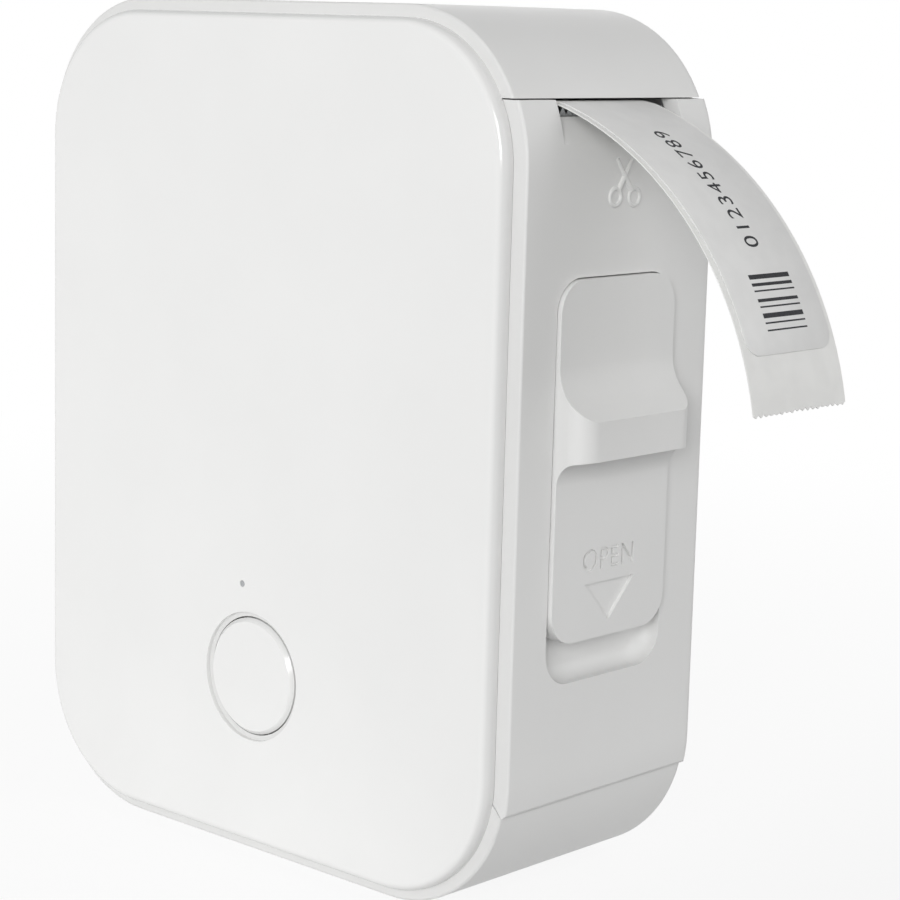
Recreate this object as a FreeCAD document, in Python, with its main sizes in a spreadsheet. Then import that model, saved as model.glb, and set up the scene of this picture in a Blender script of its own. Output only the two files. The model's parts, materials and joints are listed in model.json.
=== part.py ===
"""Pocket thermal label printer, standing on its narrow end, as an assembly of separate pieces.

Frame: millimetres, +Z up, +X towards the side lid where labels leave, the face with the button towards -Y.
The origin is the middle of the flat end that the printer stands on.
"""
import FreeCAD, Part

import math
import os
import re

import Sketcher

# Driving dimensions. A size named after a place is its distance from the edge or piece that PLACES names.
SIZES = [
    # Housing and face panel
    ("body_width", 71.0),
    ("body_height", 92.0),
    ("body_depth", 30.0),
    ("corner_radius", 15.5),
    ("wall", 1.8),
    ("rim_edge", 0.3),
    ("back_edge", 1.2),
    ("panel_inset", 1.3),
    ("panel_proud", 1.5),
    ("panel_edge", 0.9),
    ("panel_plug", 0.6),
    ("fit_gap", 0.15),
    ("tool_over", 1.0),
    ("running_gap", 0.05),
    # Side lid and its hinge
    ("seam_low", 12.0),
    ("seam_high", 8.8),
    ("seam_gap", 0.14),
    ("lid_step", 0.5),
    ("lid_wall", 1.75),
    ("lid_bevel", 0.3),
    ("hinge_inset", 6.0),
    ("hinge_height", 8.4),
    ("hinge_pin_radius", 0.8),
    ("hinge_eye_radius", 1.4),
    ("arm_outer", 3.7),
    ("arm_width", 2.3),
    ("arm_bar", 2.4),
    ("arm_reach", 4.8),
    ("arm_rise", 6.8),
    ("arm_top", 4.0),
    ("lug_width", 2.2),
    ("rail_thick", 1.8),
    # Tape outlet in the lid's upper edge
    ("notch_half", 9.5),
    ("notch_low", 1.7),
    ("scoop_low", 2.6),
    ("scoop_depth", 0.7),
    ("blade_thick", 0.5),
    ("blade_gap", 0.18),
    ("blade_height", 3.4),
    ("blade_rise", 1.0),
    ("blade_tooth", 0.9),
    ("blade_pitch", 1.0),
    # Latch slide in the lid's recess
    ("recess_half", 9.1),
    ("latch_offset", 0.8),
    ("recess_low", 12.65),
    ("recess_high", 17.35),
    ("recess_corner", 3.5),
    ("recess_depth", 2.2),
    ("recess_floor", 1.2),
    ("recess_blend", 1.5),
    ("latch_gap", 0.14),
    ("latch_float", 0.9),
    ("latch_proud", 0.5),
    ("latch_low", 0.7),
    ("latch_travel", 3.6),
    ("ridge_low", 2.75),
    ("ridge_high", 4.0),
    ("ridge_proud", 3.9),
    ("ridge_slope", 3.0),
    ("ridge_undercut", 0.5),
    ("ridge_end", 2.4),
    ("ridge_top_blend", 5.0),
    ("ridge_low_blend", 2.6),
    ("post_half", 4.0),
    ("post_low", 8.4),
    ("post_high", 6.0),
    ("hook_plate", 1.2),
    ("hook_low", 14.0),
    ("hook_bar", 2.5),
    ("hook_reach", 4.3),
    ("hook_gap", 0.6),
    ("hook_margin", 4.0),
    ("hook_skirt", 2.0),
    ("hook_tip", 5.0),
    ("catch_gap", 0.4),
    ("spring_length", 8.0),
    ("spring_radius", 0.9),
    ("spring_wire", 0.3),
    # Tape, roll and curl of the printed strip
    ("tape_width", 15.0),
    ("tape_front", 0.4),
    ("tape_thick", 0.25),
    ("tape_gap", 0.12),
    ("torn_depth", 0.4),
    ("curl_x", 11.08),
    ("curl_z", 43.34),
    ("curl_radius", 35.56),
    ("curl_end_angle", 10.2),
    ("exit_angle", 72.5),
    ("exit_bend", 6.0),
    ("roll_x", -3.0),
    ("roll_z", 42.0),
    ("roll_radius", 19.5),
    ("roll_gap", 0.3),
    ("core_radius", 6.4),
    ("core_wall", 1.0),
    ("spindle_end_radius", 3.0),
    ("spindle_end_gap", 0.2),
    ("guide_x", 8.12),
    ("guide_radius", 2.9),
    # Inner frame
    ("bay_gap", 0.5),
    ("plate_thick", 1.0),
    ("plate_left", 6.5),
    ("plate_right", 5.5),
    ("plate_low", 16.0),
    ("plate_top", 2.8),
    ("plate_foot", 16.0),
    ("plate_step", 8.0),
    ("plate_rise", 6.0),
    ("plate_neck", 4.1),
    ("shoulder_gap", 1.0),
    ("cradle_gap", 1.5),
    ("cradle_wall", 1.2),
    ("cradle_reach", 10.0),
    ("cradle_high", 6.5),
    # Platen and its bearings
    ("platen_radius", 4.0),
    ("platen_shaft_radius", 1.5),
    ("platen_over", 0.3),
    ("bush_radius", 2.2),
    ("cheek_radius", 3.2),
    ("cheek_width", 1.5),
    ("cheek_gap", 0.3),
    # Gears and motor
    ("gear_module", 0.4),
    ("pinion_teeth", 12),
    ("large_teeth", 36),
    ("small_teeth", 14),
    ("platen_teeth", 18),
    ("gear_backlash", 0.12),
    ("gear_width", 1.8),
    ("axle_radius", 1.0),
    ("motor_x", 4.92),
    ("motor_z", 23.0),
    ("motor_radius", 6.0),
    ("motor_length", 12.0),
    ("motor_shaft_radius", 0.75),
    ("motor_ear_reach", 8.0),
    ("motor_ear_radius", 2.2),
    ("motor_flange", 0.8),
    ("motor_shaft_way", 2.0),
    ("motor_plate_way", 1.5),
    # Print head
    ("head_right", 0.58),
    ("head_length", 10.5),
    ("head_ceramic", 1.0),
    ("head_sink", 1.0),
    ("head_pivot_x", 16.0),
    ("head_pin_radius", 0.8),
    ("head_eye_radius", 1.6),
    ("head_spring_x", 5.0),
    ("head_spring_half", 5.0),
    ("head_spring_radius", 1.3),
    ("bridge_thick", 0.8),
    ("bridge_lap", 4.0),
    # Button and indicator
    ("button_z", 19.95),
    ("button_diameter", 12.8),
    ("button_crown", 0.4),
    ("groove_diameter", 14.2),
    ("groove_depth", 0.5),
    ("button_flange", 0.5),
    ("button_flange_over", 0.4),
    ("button_stem_radius", 1.45),
    ("button_travel", 0.35),
    ("light_x", -1.5),
    ("light_z", 30.0),
    ("light_radius", 0.3),
    ("light_collar_radius", 1.2),
    # Board, battery and charging socket
    ("board_front", 2.8),
    ("board_thick", 1.0),
    ("board_left", 4.5),
    ("board_right", 9.0),
    ("board_low", 14.0),
    ("board_high", 20.0),
    ("board_notch_wide", 9.0),
    ("board_notch_high", 10.0),
    ("standoff_left", 6.0),
    ("standoff_right", 5.0),
    ("standoff_top", 4.0),
    ("standoff_low", 18.0),
    ("standoff_radius", 1.8),
    ("switch_size", 5.2),
    ("switch_height", 0.9),
    ("plunger_radius", 0.9),
    ("plunger_height", 0.45),
    ("battery_left", 13.5),
    ("battery_right", 32.0),
    ("battery_low", 24.0),
    ("battery_high", 62.0),
    ("battery_thick", 4.8),
    ("battery_corner", 1.5),
    ("socket_z", 24.0),
    ("socket_width", 8.9),
    ("socket_thick", 3.2),
    ("socket_length", 7.3),
    ("socket_wall", 0.35),
    ("socket_tongue", 0.7),
    ("socket_tongue_half", 3.4),
    ("socket_sunk", 0.3),
    ("socket_back", 1.5),
    ("tongue_sunk", 0.8),
    ("sensor_x", 13.3),
    ("sensor_length", 5.0),
    ("sensor_high", 4.0),
    ("sensor_rise", 5.1),
    # Fasteners
    ("screw_radius", 0.9),
    ("screw_head_radius", 1.9),
    ("screw_head_height", 1.2),
    ("drive_half", 1.2),
    ("drive_width", 0.5),
    ("screw_bite", 1.05),
    ("rail_screw_inset", 4.0),
    ("rail_head_radius", 1.1),
    ("boss_radius", 2.4),
    ("boss_upper_x", 9.5),
    ("boss_upper_z", 28.0),
    ("boss_lower_x", 15.5),
    ("boss_lower_z", 19.5),
    ("small_screw_radius", 0.7),
    ("small_head_radius", 1.4),
    ("small_head_height", 0.7),
]

# Places, each as an expression of sizes and of other places
PLACES = {
    # Case
    "SIDE_X": "body_width/2",
    "RIM_Y": "-body_depth/2",
    "BACK_Y": "body_depth/2",
    "BACK_IN": "BACK_Y - wall",
    "FACE_Y": "RIM_Y - panel_proud",
    "PANEL_BACK": "RIM_Y + panel_plug",
    "ARC_X": "SIDE_X - corner_radius",
    "ARC_TOP": "body_height - corner_radius",
    # Lid and hinge
    "LID_X": "SIDE_X + lid_step",
    "LID_IN": "LID_X - lid_wall",
    "LID_ARC": "corner_radius + lid_step",
    "LID_FOOT_X": "ARC_X + sqrt(LID_ARC^2 - (corner_radius - LID_LOW)^2)",
    "SEAM_HIGH": "body_height - seam_high",
    "LID_LOW": "seam_low + seam_gap/2",
    "LID_HIGH": "SEAM_HIGH - seam_gap/2",
    "HINGE_X": "SIDE_X - hinge_inset",
    "SEAM_X": "ARC_X + sqrt(corner_radius^2 - (corner_radius - seam_low + seam_gap/2)^2)",
    "HINGE_SWEEP": "sqrt((SEAM_X - HINGE_X)^2 + (seam_low - seam_gap/2 - hinge_height)^2) + fit_gap",
    "NECK_X": "HINGE_X - arm_reach",
    "ARM_OUTER": "recess_half + arm_outer",
    "ARM_INNER": "ARM_OUTER - arm_width",
    "ARM_MID": "ARM_OUTER - arm_width/2",
    "RAIL_X": "LID_IN - fit_gap - rail_thick",
    "RAIL_LOW": "hinge_height + arm_rise",
    "RAIL_TOP": "NOTCH_LOW - blade_rise",
    # Tape outlet and blade
    "NOTCH_LOW": "SEAM_HIGH - notch_low",
    "NOTCH_X": "ARC_X + sqrt(LID_ARC^2 - (NOTCH_LOW - ARC_TOP)^2) - scoop_depth",
    "SCOOP_LOW": "NOTCH_LOW - scoop_low",
    "SCOOP_X": "ARC_X + sqrt(LID_ARC^2 - (SCOOP_LOW - ARC_TOP)^2)",
    "BLADE_X": "ARC_X + sqrt((LID_ARC - lid_wall)^2 - (NOTCH_LOW - ARC_TOP)^2) - blade_gap - blade_thick",
    "BLADE_TOP": "NOTCH_LOW + blade_rise",
    # Latch
    "RECESS_LOW": "seam_low + recess_low",
    "RECESS_HIGH": "SEAM_HIGH - recess_high",
    "RECESS_BED": "LID_X - recess_depth",
    "RECESS_BACK": "RECESS_BED - recess_floor",
    "LATCH_LOW": "RECESS_LOW + latch_travel + latch_low",
    "LATCH_HIGH": "RECESS_HIGH - latch_gap",
    "RECESS_FRONT": "-recess_half - latch_offset",
    "RECESS_REAR": "recess_half - latch_offset",
    "LATCH_SIDE_FRONT": "RECESS_FRONT + latch_gap",
    "LATCH_SIDE_REAR": "RECESS_REAR - latch_gap",
    "LATCH_BACK": "RECESS_BED + latch_float",
    "LATCH_FRONT": "LID_X + latch_proud",
    "RIDGE_X": "LID_X + ridge_proud",
    "RIDGE_LOW": "(RECESS_LOW + RECESS_HIGH)/2 + ridge_low",
    "RIDGE_HIGH": "RIDGE_LOW + ridge_high",
    "POST_LOW": "RIDGE_LOW - post_low",
    "POST_HIGH": "POST_LOW + post_high",
    "HOOK_X": "RECESS_BACK - hook_gap - hook_plate",
    "HOOK_LOW": "POST_LOW + hook_low",
    "HOOK_HALF": "post_half + hook_margin",
    "SPRING_HIGH": "POST_LOW - hook_skirt",
    "SPRING_LOW": "SPRING_HIGH - spring_length",
    # Tape and roll
    "TAPE_FRONT": "tape_front - notch_half",
    "TAPE_BACK": "TAPE_FRONT + tape_width",
    "CURL_X": "SIDE_X - curl_x",
    "CURL_Z": "body_height - curl_z",
    "TAPE_Z": "CURL_Z + curl_radius*sin(exit_angle*1deg) + exit_bend*(1 - sin(exit_angle*1deg))",
    "GUIDE_X": "CURL_X - guide_x",
    "GUIDE_Z": "TAPE_Z - tape_thick/2 - tape_gap - guide_radius",
    # Inner frame
    "PLATE_FRONT_LOW": "PLATE_FRONT_HIGH - plate_thick",
    "PLATE_FRONT_HIGH": "TAPE_FRONT - bay_gap",
    "PLATE_REAR_LOW": "TAPE_BACK + bay_gap",
    "PLATE_REAR_HIGH": "PLATE_REAR_LOW + plate_thick",
    "PLATE_LEFT": "plate_left - SIDE_X",
    "PLATE_RIGHT": "SIDE_X - plate_right",
    "PLATE_TOP": "body_height - plate_top",
    # Platen, gears and motor
    "PLATEN_Z": "TAPE_Z - tape_thick/2 - tape_gap - platen_radius",
    "CHEEK_FRONT_LOW": "CHEEK_FRONT_HIGH - cheek_width",
    "CHEEK_FRONT_HIGH": "PLATE_FRONT_HIGH - cheek_gap",
    "CHEEK_REAR_LOW": "PLATE_REAR_LOW + fit_gap",
    "CHEEK_REAR_HIGH": "CHEEK_REAR_LOW + cheek_width",
    "GEAR_INNER": "CHEEK_REAR_HIGH + cheek_gap",
    "GEAR_OUTER": "GEAR_INNER + gear_width + cheek_gap",
    "MOTOR_X": "CURL_X - motor_x",
    "MOTOR_Z": "body_height - motor_z",
    # Print head
    "HEAD_Z": "TAPE_Z + tape_thick/2 + tape_gap",
    "HEAD_PIVOT_Z": "HEAD_Z + head_ceramic + head_sink",
    "HEAD_RIGHT": "CURL_X + head_right",
    "HEAD_PIVOT_X": "HEAD_RIGHT - head_pivot_x",
    "HEAD_SPRING_X": "HEAD_RIGHT - head_spring_x",
    # Board, battery, socket, sensor and screw bosses
    "BOARD_FRONT": "RIM_Y + board_front",
    "BOARD_BACK": "BOARD_FRONT + board_thick",
    "BOARD_LEFT": "board_left - SIDE_X",
    "BOARD_RIGHT": "SIDE_X - board_right",
    "BOARD_HIGH": "body_height - board_high",
    "SWITCH_TOP": "BOARD_FRONT - switch_height",
    "BATTERY_LEFT": "battery_left - SIDE_X",
    "BATTERY_RIGHT": "BATTERY_LEFT + battery_right",
    "SOCKET_X": "socket_sunk - SIDE_X",
    "SENSOR_X": "GUIDE_X - sensor_x",
    "SENSOR_Z": "(roll_z + roll_radius + GUIDE_Z)/2 - sensor_rise",
    "BOSS_UPPER_X": "SIDE_X - boss_upper_x",
    "BOSS_UPPER_Z": "body_height - boss_upper_z",
    "BOSS_LOWER_X": "SIDE_X - boss_lower_x",
}

# Standard tooth form, and how near an edge lies to a place to count as there
PRESSURE_ANGLE = 20.0
TOOTH_ROOT = 1.25
NEAR = 1e-3

doc = FreeCAD.newDocument("label_printer")
sheet = doc.addObject("Spreadsheet::Sheet", "Sizes")
for row, (alias, size) in enumerate(SIZES, start=1):
    sheet.set("A%d" % row, alias)
    sheet.set("B%d" % row, str(size))
    sheet.setAlias("B%d" % row, alias)
doc.recompute()

ALIAS = re.compile(r"\b(%s)\b" % "|".join(alias for alias, size in SIZES))
PLACE = re.compile(r"\b(%s)\b" % "|".join(PLACES))
PLANES = {"XY": "XY_Plane", "XZ": "XZ_Plane", "YZ": "YZ_Plane"}
PAD_AXIS = {"XY": "z", "XZ": "y", "YZ": "x"}
TURN = {
    "x": FreeCAD.Rotation(FreeCAD.Vector(0, 1, 0), 90),
    "y": FreeCAD.Rotation(FreeCAD.Vector(1, 0, 0), -90),
    "z": FreeCAD.Rotation(),
}
NODES = []

PLATE_FRONT = ("PLATE_FRONT_LOW", "PLATE_FRONT_HIGH")
PLATE_REAR = ("PLATE_REAR_LOW", "PLATE_REAR_HIGH")
CHEEK_FRONT = ("CHEEK_FRONT_LOW", "CHEEK_FRONT_HIGH")
CHEEK_REAR = ("CHEEK_REAR_LOW", "CHEEK_REAR_HIGH")
CATCH_X = ("HOOK_X - hook_reach + hook_plate + latch_gap", "HOOK_X - latch_gap")
CATCH_Z = ("HOOK_LOW + hook_tip + catch_gap", "HOOK_LOW + hook_tip + catch_gap + hook_plate")
BOSSES = [("-BOSS_UPPER_X", "BOSS_UPPER_Z"), ("BOSS_UPPER_X", "BOSS_UPPER_Z"),
          ("-BOSS_LOWER_X", "boss_lower_z"), ("BOSS_LOWER_X", "boss_lower_z")]
STANDOFFS = [(x, z) for x in ("BOARD_LEFT + standoff_left", "BOARD_RIGHT - standoff_right")
             for z in ("BOARD_HIGH - standoff_top", "board_low + standoff_low")]
RAIL_SCREWS = [(y, z) for y in ("-ARM_MID", "ARM_MID")
               for z in ("RECESS_LOW - rail_screw_inset", "RECESS_HIGH + rail_screw_inset")]


def formula(text):
    """An expression with its places written out and its sizes pointing at the sheet."""
    while PLACE.search(text):
        text = PLACE.sub(lambda found: "(%s)" % PLACES[found.group(1)], text)
    return ALIAS.sub(r"Sizes.\1", text)


def value(text):
    """The number that an expression gives now."""
    return float(sheet.evalExpression(formula(text)))


def box(name, x, y, z):
    """A block between two places along each axis."""
    block = doc.addObject("Part::Box", name)
    for side, axis, (low, high) in (("Length", "x", x), ("Width", "y", y), ("Height", "z", z)):
        block.setExpression(side, formula("(%s) - (%s)" % (high, low)))
        block.setExpression("Placement.Base." + axis, formula(low))
    return block


def rod(name, axis, radius, span, across):
    """A round bar along an axis, from span[0] to span[1], at the two places in across."""
    bar = doc.addObject("Part::Cylinder", name)
    bar.Placement.Rotation = TURN[axis]
    bar.setExpression("Radius", formula(radius))
    bar.setExpression("Height", formula("(%s) - (%s)" % (span[1], span[0])))
    places = dict(zip([a for a in "xyz" if a != axis], across))
    places[axis] = span[0]
    for letter, place in places.items():
        bar.setExpression("Placement.Base." + letter, formula(place))
    return bar


def fuse(name, pieces):
    """Pieces joined into one."""
    joined = doc.addObject("Part::MultiFuse", name)
    joined.Shapes = pieces
    joined.Refine = True
    return joined


def cut(name, base, tools):
    """base with every tool taken away."""
    tool = tools[0] if len(tools) == 1 else fuse(name + "_tools", tools)
    remainder = doc.addObject("Part::Cut", name)
    remainder.Base = base
    remainder.Tool = tool
    remainder.Refine = True
    return remainder


def common(name, pieces):
    """What all the pieces share."""
    shared = doc.addObject("Part::MultiCommon", name)
    shared.Shapes = pieces
    shared.Refine = True
    return shared


def node(piece, name):
    """Names a finished sub-part."""
    piece.Label = name
    NODES.append(piece)
    return piece


def solid(name, shape):
    """A sub-part whose outline is worked out in code."""
    piece = doc.addObject("Part::Feature", name)
    piece.Shape = shape
    return piece


def new_sketch(name, plane):
    """A body with an empty sketch on one of its own origin planes."""
    body = doc.addObject("PartDesign::Body", name)
    sketch = body.newObject("Sketcher::SketchObject", name + "_sketch")
    support = [f for f in body.Origin.OriginFeatures if f.Role == PLANES[plane]][0]
    sketch.AttachmentSupport = (support, [""])
    sketch.MapMode = "FlatFace"
    return body, sketch


def pin_point(sketch, geometry, point, place, label):
    """Fixes a sketch point at two expressions."""
    for kind, letter, text in (("DistanceX", "u", place[0]), ("DistanceY", "v", place[1])):
        index = sketch.addConstraint(Sketcher.Constraint(kind, -1, 1, geometry, point, value(text)))
        sketch.renameConstraint(index, letter + label)
        sketch.setExpression("Constraints." + letter + label, formula(text))


def pad_between(body, sketch, plane, low, high):
    """Pads a sketch from low to high along its normal."""
    pad = body.newObject("PartDesign::Pad", body.Name + "_pad")
    pad.Profile = sketch
    pad.SideType = "Symmetric"
    pad.setExpression("Length", formula("(%s) - (%s)" % (high, low)))
    body.setExpression("Placement.Base." + PAD_AXIS[plane], formula("((%s) + (%s))/2" % (low, high)))
    doc.recompute()
    return pad


def prism(name, plane, corners, low, high):
    """A straight-sided outline, padded from low to high."""
    body, sketch = new_sketch(name, plane)
    points = [FreeCAD.Vector(value(u), value(v), 0) for u, v in corners]
    count = len(points)
    for i in range(count):
        sketch.addGeometry(Part.LineSegment(points[i], points[(i + 1) % count]), False)
    for i in range(count):
        sketch.addConstraint(Sketcher.Constraint("Coincident", i, 2, (i + 1) % count, 1))
    for i, corner in enumerate(corners):
        pin_point(sketch, i, 1, corner, str(i))
    pad_between(body, sketch, plane, low, high)
    return body


def rounded(name, plane, u, v, radius, low, high):
    """A rectangle with round corners, padded from low to high."""
    body, sketch = new_sketch(name, plane)
    r = value(radius)
    left, right, bottom, top = value(u[0]), value(u[1]), value(v[0]), value(v[1])
    sides = [((left + r, bottom), (right - r, bottom)), ((right, bottom + r), (right, top - r)),
             ((right - r, top), (left + r, top)), ((left, top - r), (left, bottom + r))]
    centres = [(right - r, bottom + r), (right - r, top - r), (left + r, top - r), (left + r, bottom + r)]
    normal = FreeCAD.Vector(0, 0, 1)
    for i in range(4):
        start, end = sides[i]
        sketch.addGeometry(Part.LineSegment(FreeCAD.Vector(*start, 0), FreeCAD.Vector(*end, 0)), False)
        circle = Part.Circle(FreeCAD.Vector(*centres[i], 0), normal, r)
        first = (i - 1) * math.pi / 2
        sketch.addGeometry(Part.ArcOfCircle(circle, first, first + math.pi / 2), False)
    for i in range(8):
        sketch.addConstraint(Sketcher.Constraint("Tangent", i, 2, (i + 1) % 8, 1))
    for line, kind in ((0, "Horizontal"), (2, "Vertical"), (4, "Horizontal"), (6, "Vertical")):
        sketch.addConstraint(Sketcher.Constraint(kind, line))
    for arc in (3, 5, 7):
        sketch.addConstraint(Sketcher.Constraint("Equal", 1, arc))
    index = sketch.addConstraint(Sketcher.Constraint("Radius", 1, r))
    sketch.renameConstraint(index, "corner")
    sketch.setExpression("Constraints.corner", formula(radius))
    pin_point(sketch, 1, 3, ("(%s) - (%s)" % (u[1], radius), "(%s) + (%s)" % (v[0], radius)), "low")
    pin_point(sketch, 5, 3, ("(%s) + (%s)" % (u[0], radius), "(%s) - (%s)" % (v[1], radius)), "high")
    pad_between(body, sketch, plane, low, high)
    return body


def round_edges(body, radius, chosen):
    """Rounds the edges or faces of a body's tip that a test chooses."""
    tip = body.Tip
    names = ["Edge%d" % i for i, edge in enumerate(tip.Shape.Edges, start=1) if chosen(edge)]
    fillet = body.newObject("PartDesign::Fillet", tip.Name + "_round")
    fillet.Base = (tip, names)
    fillet.setExpression("Radius", formula(radius))
    doc.recompute()
    return fillet


def at_end(axis, end):
    """Chooses the edges that lie wholly at one end along an axis."""
    def chosen(edge):
        bounds = edge.BoundBox
        low, high = getattr(bounds, axis + "Min"), getattr(bounds, axis + "Max")
        return abs(low - end) < NEAR and abs(high - end) < NEAR
    return chosen


def along(axis, others):
    """Chooses straight edges along an axis that pass through one of the places given."""
    rest = [a for a in "XYZ" if a != axis]
    def chosen(edge):
        bounds = edge.BoundBox
        straight = max(getattr(bounds, a + "Length") for a in rest) < NEAR
        here = [getattr(bounds, a + "Min") for a in rest]
        return straight and any(math.dist(here, place) < NEAR for place in others)
    return chosen


def case_prism(name, grow, low, high):
    """The printer's outline, larger by grow all round."""
    return rounded(name, "XZ", ("-SIDE_X - (%s)" % grow, "SIDE_X + (%s)" % grow),
                   ("-(%s)" % grow, "body_height + (%s)" % grow), "corner_radius + (%s)" % grow, low, high)


def rounded_case(name, grow):
    """The printer's outline with its front and back edges rounded."""
    body = case_prism(name, grow, "RIM_Y", "BACK_Y")
    half = value("body_depth")/2
    round_edges(body, "back_edge", at_end("Y", half))
    round_edges(body, "rim_edge", at_end("Y", -half))
    return body


def gear_train():
    """Centre of the two-step gear, in mesh with the motor pinion and with the platen gear."""
    motor = FreeCAD.Vector(value("MOTOR_X"), 0, value("MOTOR_Z"))
    platen = FreeCAD.Vector(value("CURL_X"), 0, value("PLATEN_Z"))
    first = value("gear_module*(pinion_teeth + large_teeth)/2")
    second = value("gear_module*(small_teeth + platen_teeth)/2")
    apart = motor.distanceToPoint(platen)
    towards = (platen - motor) / apart
    foot = (first**2 - second**2 + apart**2) / (2*apart)
    rise = math.sqrt(first**2 - foot**2)
    sideways = FreeCAD.Vector(-towards.z, 0, towards.x)
    return motor, motor + towards*foot + sideways*rise, platen


def gear(teeth, centre, partner, low, high, bore, starts_with_gap=False):
    """A spur gear about Y with involute flanks drawn as arcs, and a tooth or a gap towards its partner."""
    module, backlash = value("gear_module"), value("gear_backlash")
    pressure = math.radians(PRESSURE_ANGLE)
    pitch = module*teeth/2
    base, tip, root = pitch*math.cos(pressure), pitch + module, pitch - TOOTH_ROOT*module
    half_tooth = (math.pi*module/2 - backlash) / (2*pitch)
    start = max(base, root)

    def involute(angle):
        return math.tan(angle) - angle

    def flank_angle(radius):
        return half_tooth + involute(pressure) - involute(math.acos(min(1.0, base/radius)))

    def point(radius, angle):
        return FreeCAD.Vector(centre.x + radius*math.cos(angle), low, centre.z + radius*math.sin(angle))

    facing = math.atan2(partner.z - centre.z, partner.x - centre.x)
    step = 2*math.pi/teeth
    phase = facing + (step/2 if starts_with_gap else 0)
    edges = []
    for i in range(teeth):
        middle = phase + i*step
        if root < base:
            edges.append(Part.LineSegment(point(root, middle - flank_angle(start)),
                                          point(start, middle - flank_angle(start))))
        radii = (start, (start + tip)/2, tip)
        edges.append(Part.Arc(*[point(r, middle - flank_angle(r)) for r in radii]))
        edges.append(Part.Arc(*[point(tip, middle + s*flank_angle(tip)) for s in (-1, 0, 1)]))
        edges.append(Part.Arc(*[point(r, middle + flank_angle(r)) for r in reversed(radii)]))
        if root < base:
            edges.append(Part.LineSegment(point(start, middle + flank_angle(start)),
                                          point(root, middle + flank_angle(start))))
        foot = middle + flank_angle(start)
        edges.append(Part.Arc(point(root, foot), point(root, middle + step/2),
                              point(root, middle + step - flank_angle(start))))
    outline = Part.Face(Part.Wire([edge.toShape() for edge in edges]))
    blank = outline.extrude(FreeCAD.Vector(0, high - low, 0))
    shaft = Part.makeCylinder(bore, high - low, FreeCAD.Vector(centre.x, low, centre.z),
                              FreeCAD.Vector(0, 1, 0))
    return blank.cut(shaft)


def rear_housing():
    """One moulded tub: back, ends and far side, open at the face and along the lid."""
    outer = rounded_case("housing_outer", "0")
    hollow = case_prism("housing_hollow", "-wall", "RIM_Y - tool_over", "BACK_IN")
    between = ("seam_low - seam_gap/2", "SEAM_HIGH + seam_gap/2")
    side = ("ARC_X", "LID_X + tool_over")
    lid_band = box("lid_band", side, ("RIM_Y - tool_over", "BACK_Y + tool_over"), between)
    back_edge = case_prism("back_edge_limit", "lid_step - lid_wall - fit_gap", "RIM_Y - 2*tool_over",
                           "BACK_Y + 2*tool_over")
    lid_way = cut("lid_way", lid_band, [back_edge])
    lid_door = box("lid_door", side, ("RIM_Y - tool_over", "BACK_IN"), between)
    socket_way = rounded("socket_way", "YZ",
                         ("BOARD_BACK - fit_gap", "BOARD_BACK + socket_thick + fit_gap"),
                         ("socket_z - socket_width/2 - fit_gap", "socket_z + socket_width/2 + fit_gap"),
                         "socket_thick/2", "-SIDE_X - tool_over", "-SIDE_X + wall + tool_over")
    bosses = [rod("boss_%d" % i, "y", "boss_radius", ("PLATE_REAR_HIGH", "BACK_IN + wall/2"), place)
              for i, place in enumerate(BOSSES)]
    holes = [rod("boss_hole_%d" % i, "y", "screw_radius + running_gap",
                 ("PLATE_REAR_HIGH - tool_over", "BACK_Y + tool_over"), place)
             for i, place in enumerate(BOSSES)]
    sinks = [rod("boss_sink_%d" % i, "y", "screw_head_radius + fit_gap",
                 ("BACK_Y - screw_head_height", "BACK_Y + tool_over"), place)
             for i, place in enumerate(BOSSES)]
    lugs = []
    for i, (low, high) in enumerate((("-ARM_INNER + fit_gap", "-ARM_INNER + fit_gap + lug_width"),
                                     ("ARM_INNER - fit_gap - lug_width", "ARM_INNER - fit_gap"))):
        lugs.append(rod("hinge_lug_%d" % i, "y", "hinge_eye_radius", (low, high),
                        ("HINGE_X", "hinge_height")))
        foot = box("hinge_foot_%d" % i, ("HINGE_X - hinge_eye_radius", "HINGE_X + hinge_eye_radius"),
                   (low, high), ("wall/2", "hinge_height"))
        inside = case_prism("hinge_foot_limit_%d" % i, "-wall/2", low, high)
        lugs.append(common("hinge_foot_in_%d" % i, [foot, inside]))
    eye = rod("hinge_lug_bore", "y", "hinge_pin_radius + running_gap", ("-ARM_OUTER", "ARM_OUTER"),
              ("HINGE_X", "hinge_height"))
    catch = box("rear_catch", CATCH_X, ("ARM_OUTER - hook_plate", "BACK_IN + wall/2"), CATCH_Z)
    # Beside the hinge arms the tub's edge stands up into the hollow that the lid needs to swing.
    swing = rod("seam_lip_round", "y", "HINGE_SWEEP - fit_gap", ("RIM_Y", "BACK_Y"),
                ("HINGE_X", "hinge_height"))
    lips = []
    for i, span in enumerate((("RIM_Y", "-ARM_OUTER - 2*fit_gap"), ("ARM_OUTER + 2*fit_gap", "BACK_Y"))):
        edge = box("seam_lip_edge_%d" % i, ("SIDE_X - wall", "SIDE_X"), span,
                   ("seam_low - wall", "RAIL_LOW"))
        lips.append(common("seam_lip_%d" % i, [outer, swing, edge]))
    shell = cut("housing_shell", outer, [hollow, lid_way, lid_door, socket_way])
    whole = fuse("housing_whole", [shell, catch] + bosses + lugs + lips)
    return node(cut("housing", whole, holes + sinks + [eye]), "rear_housing")


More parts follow.
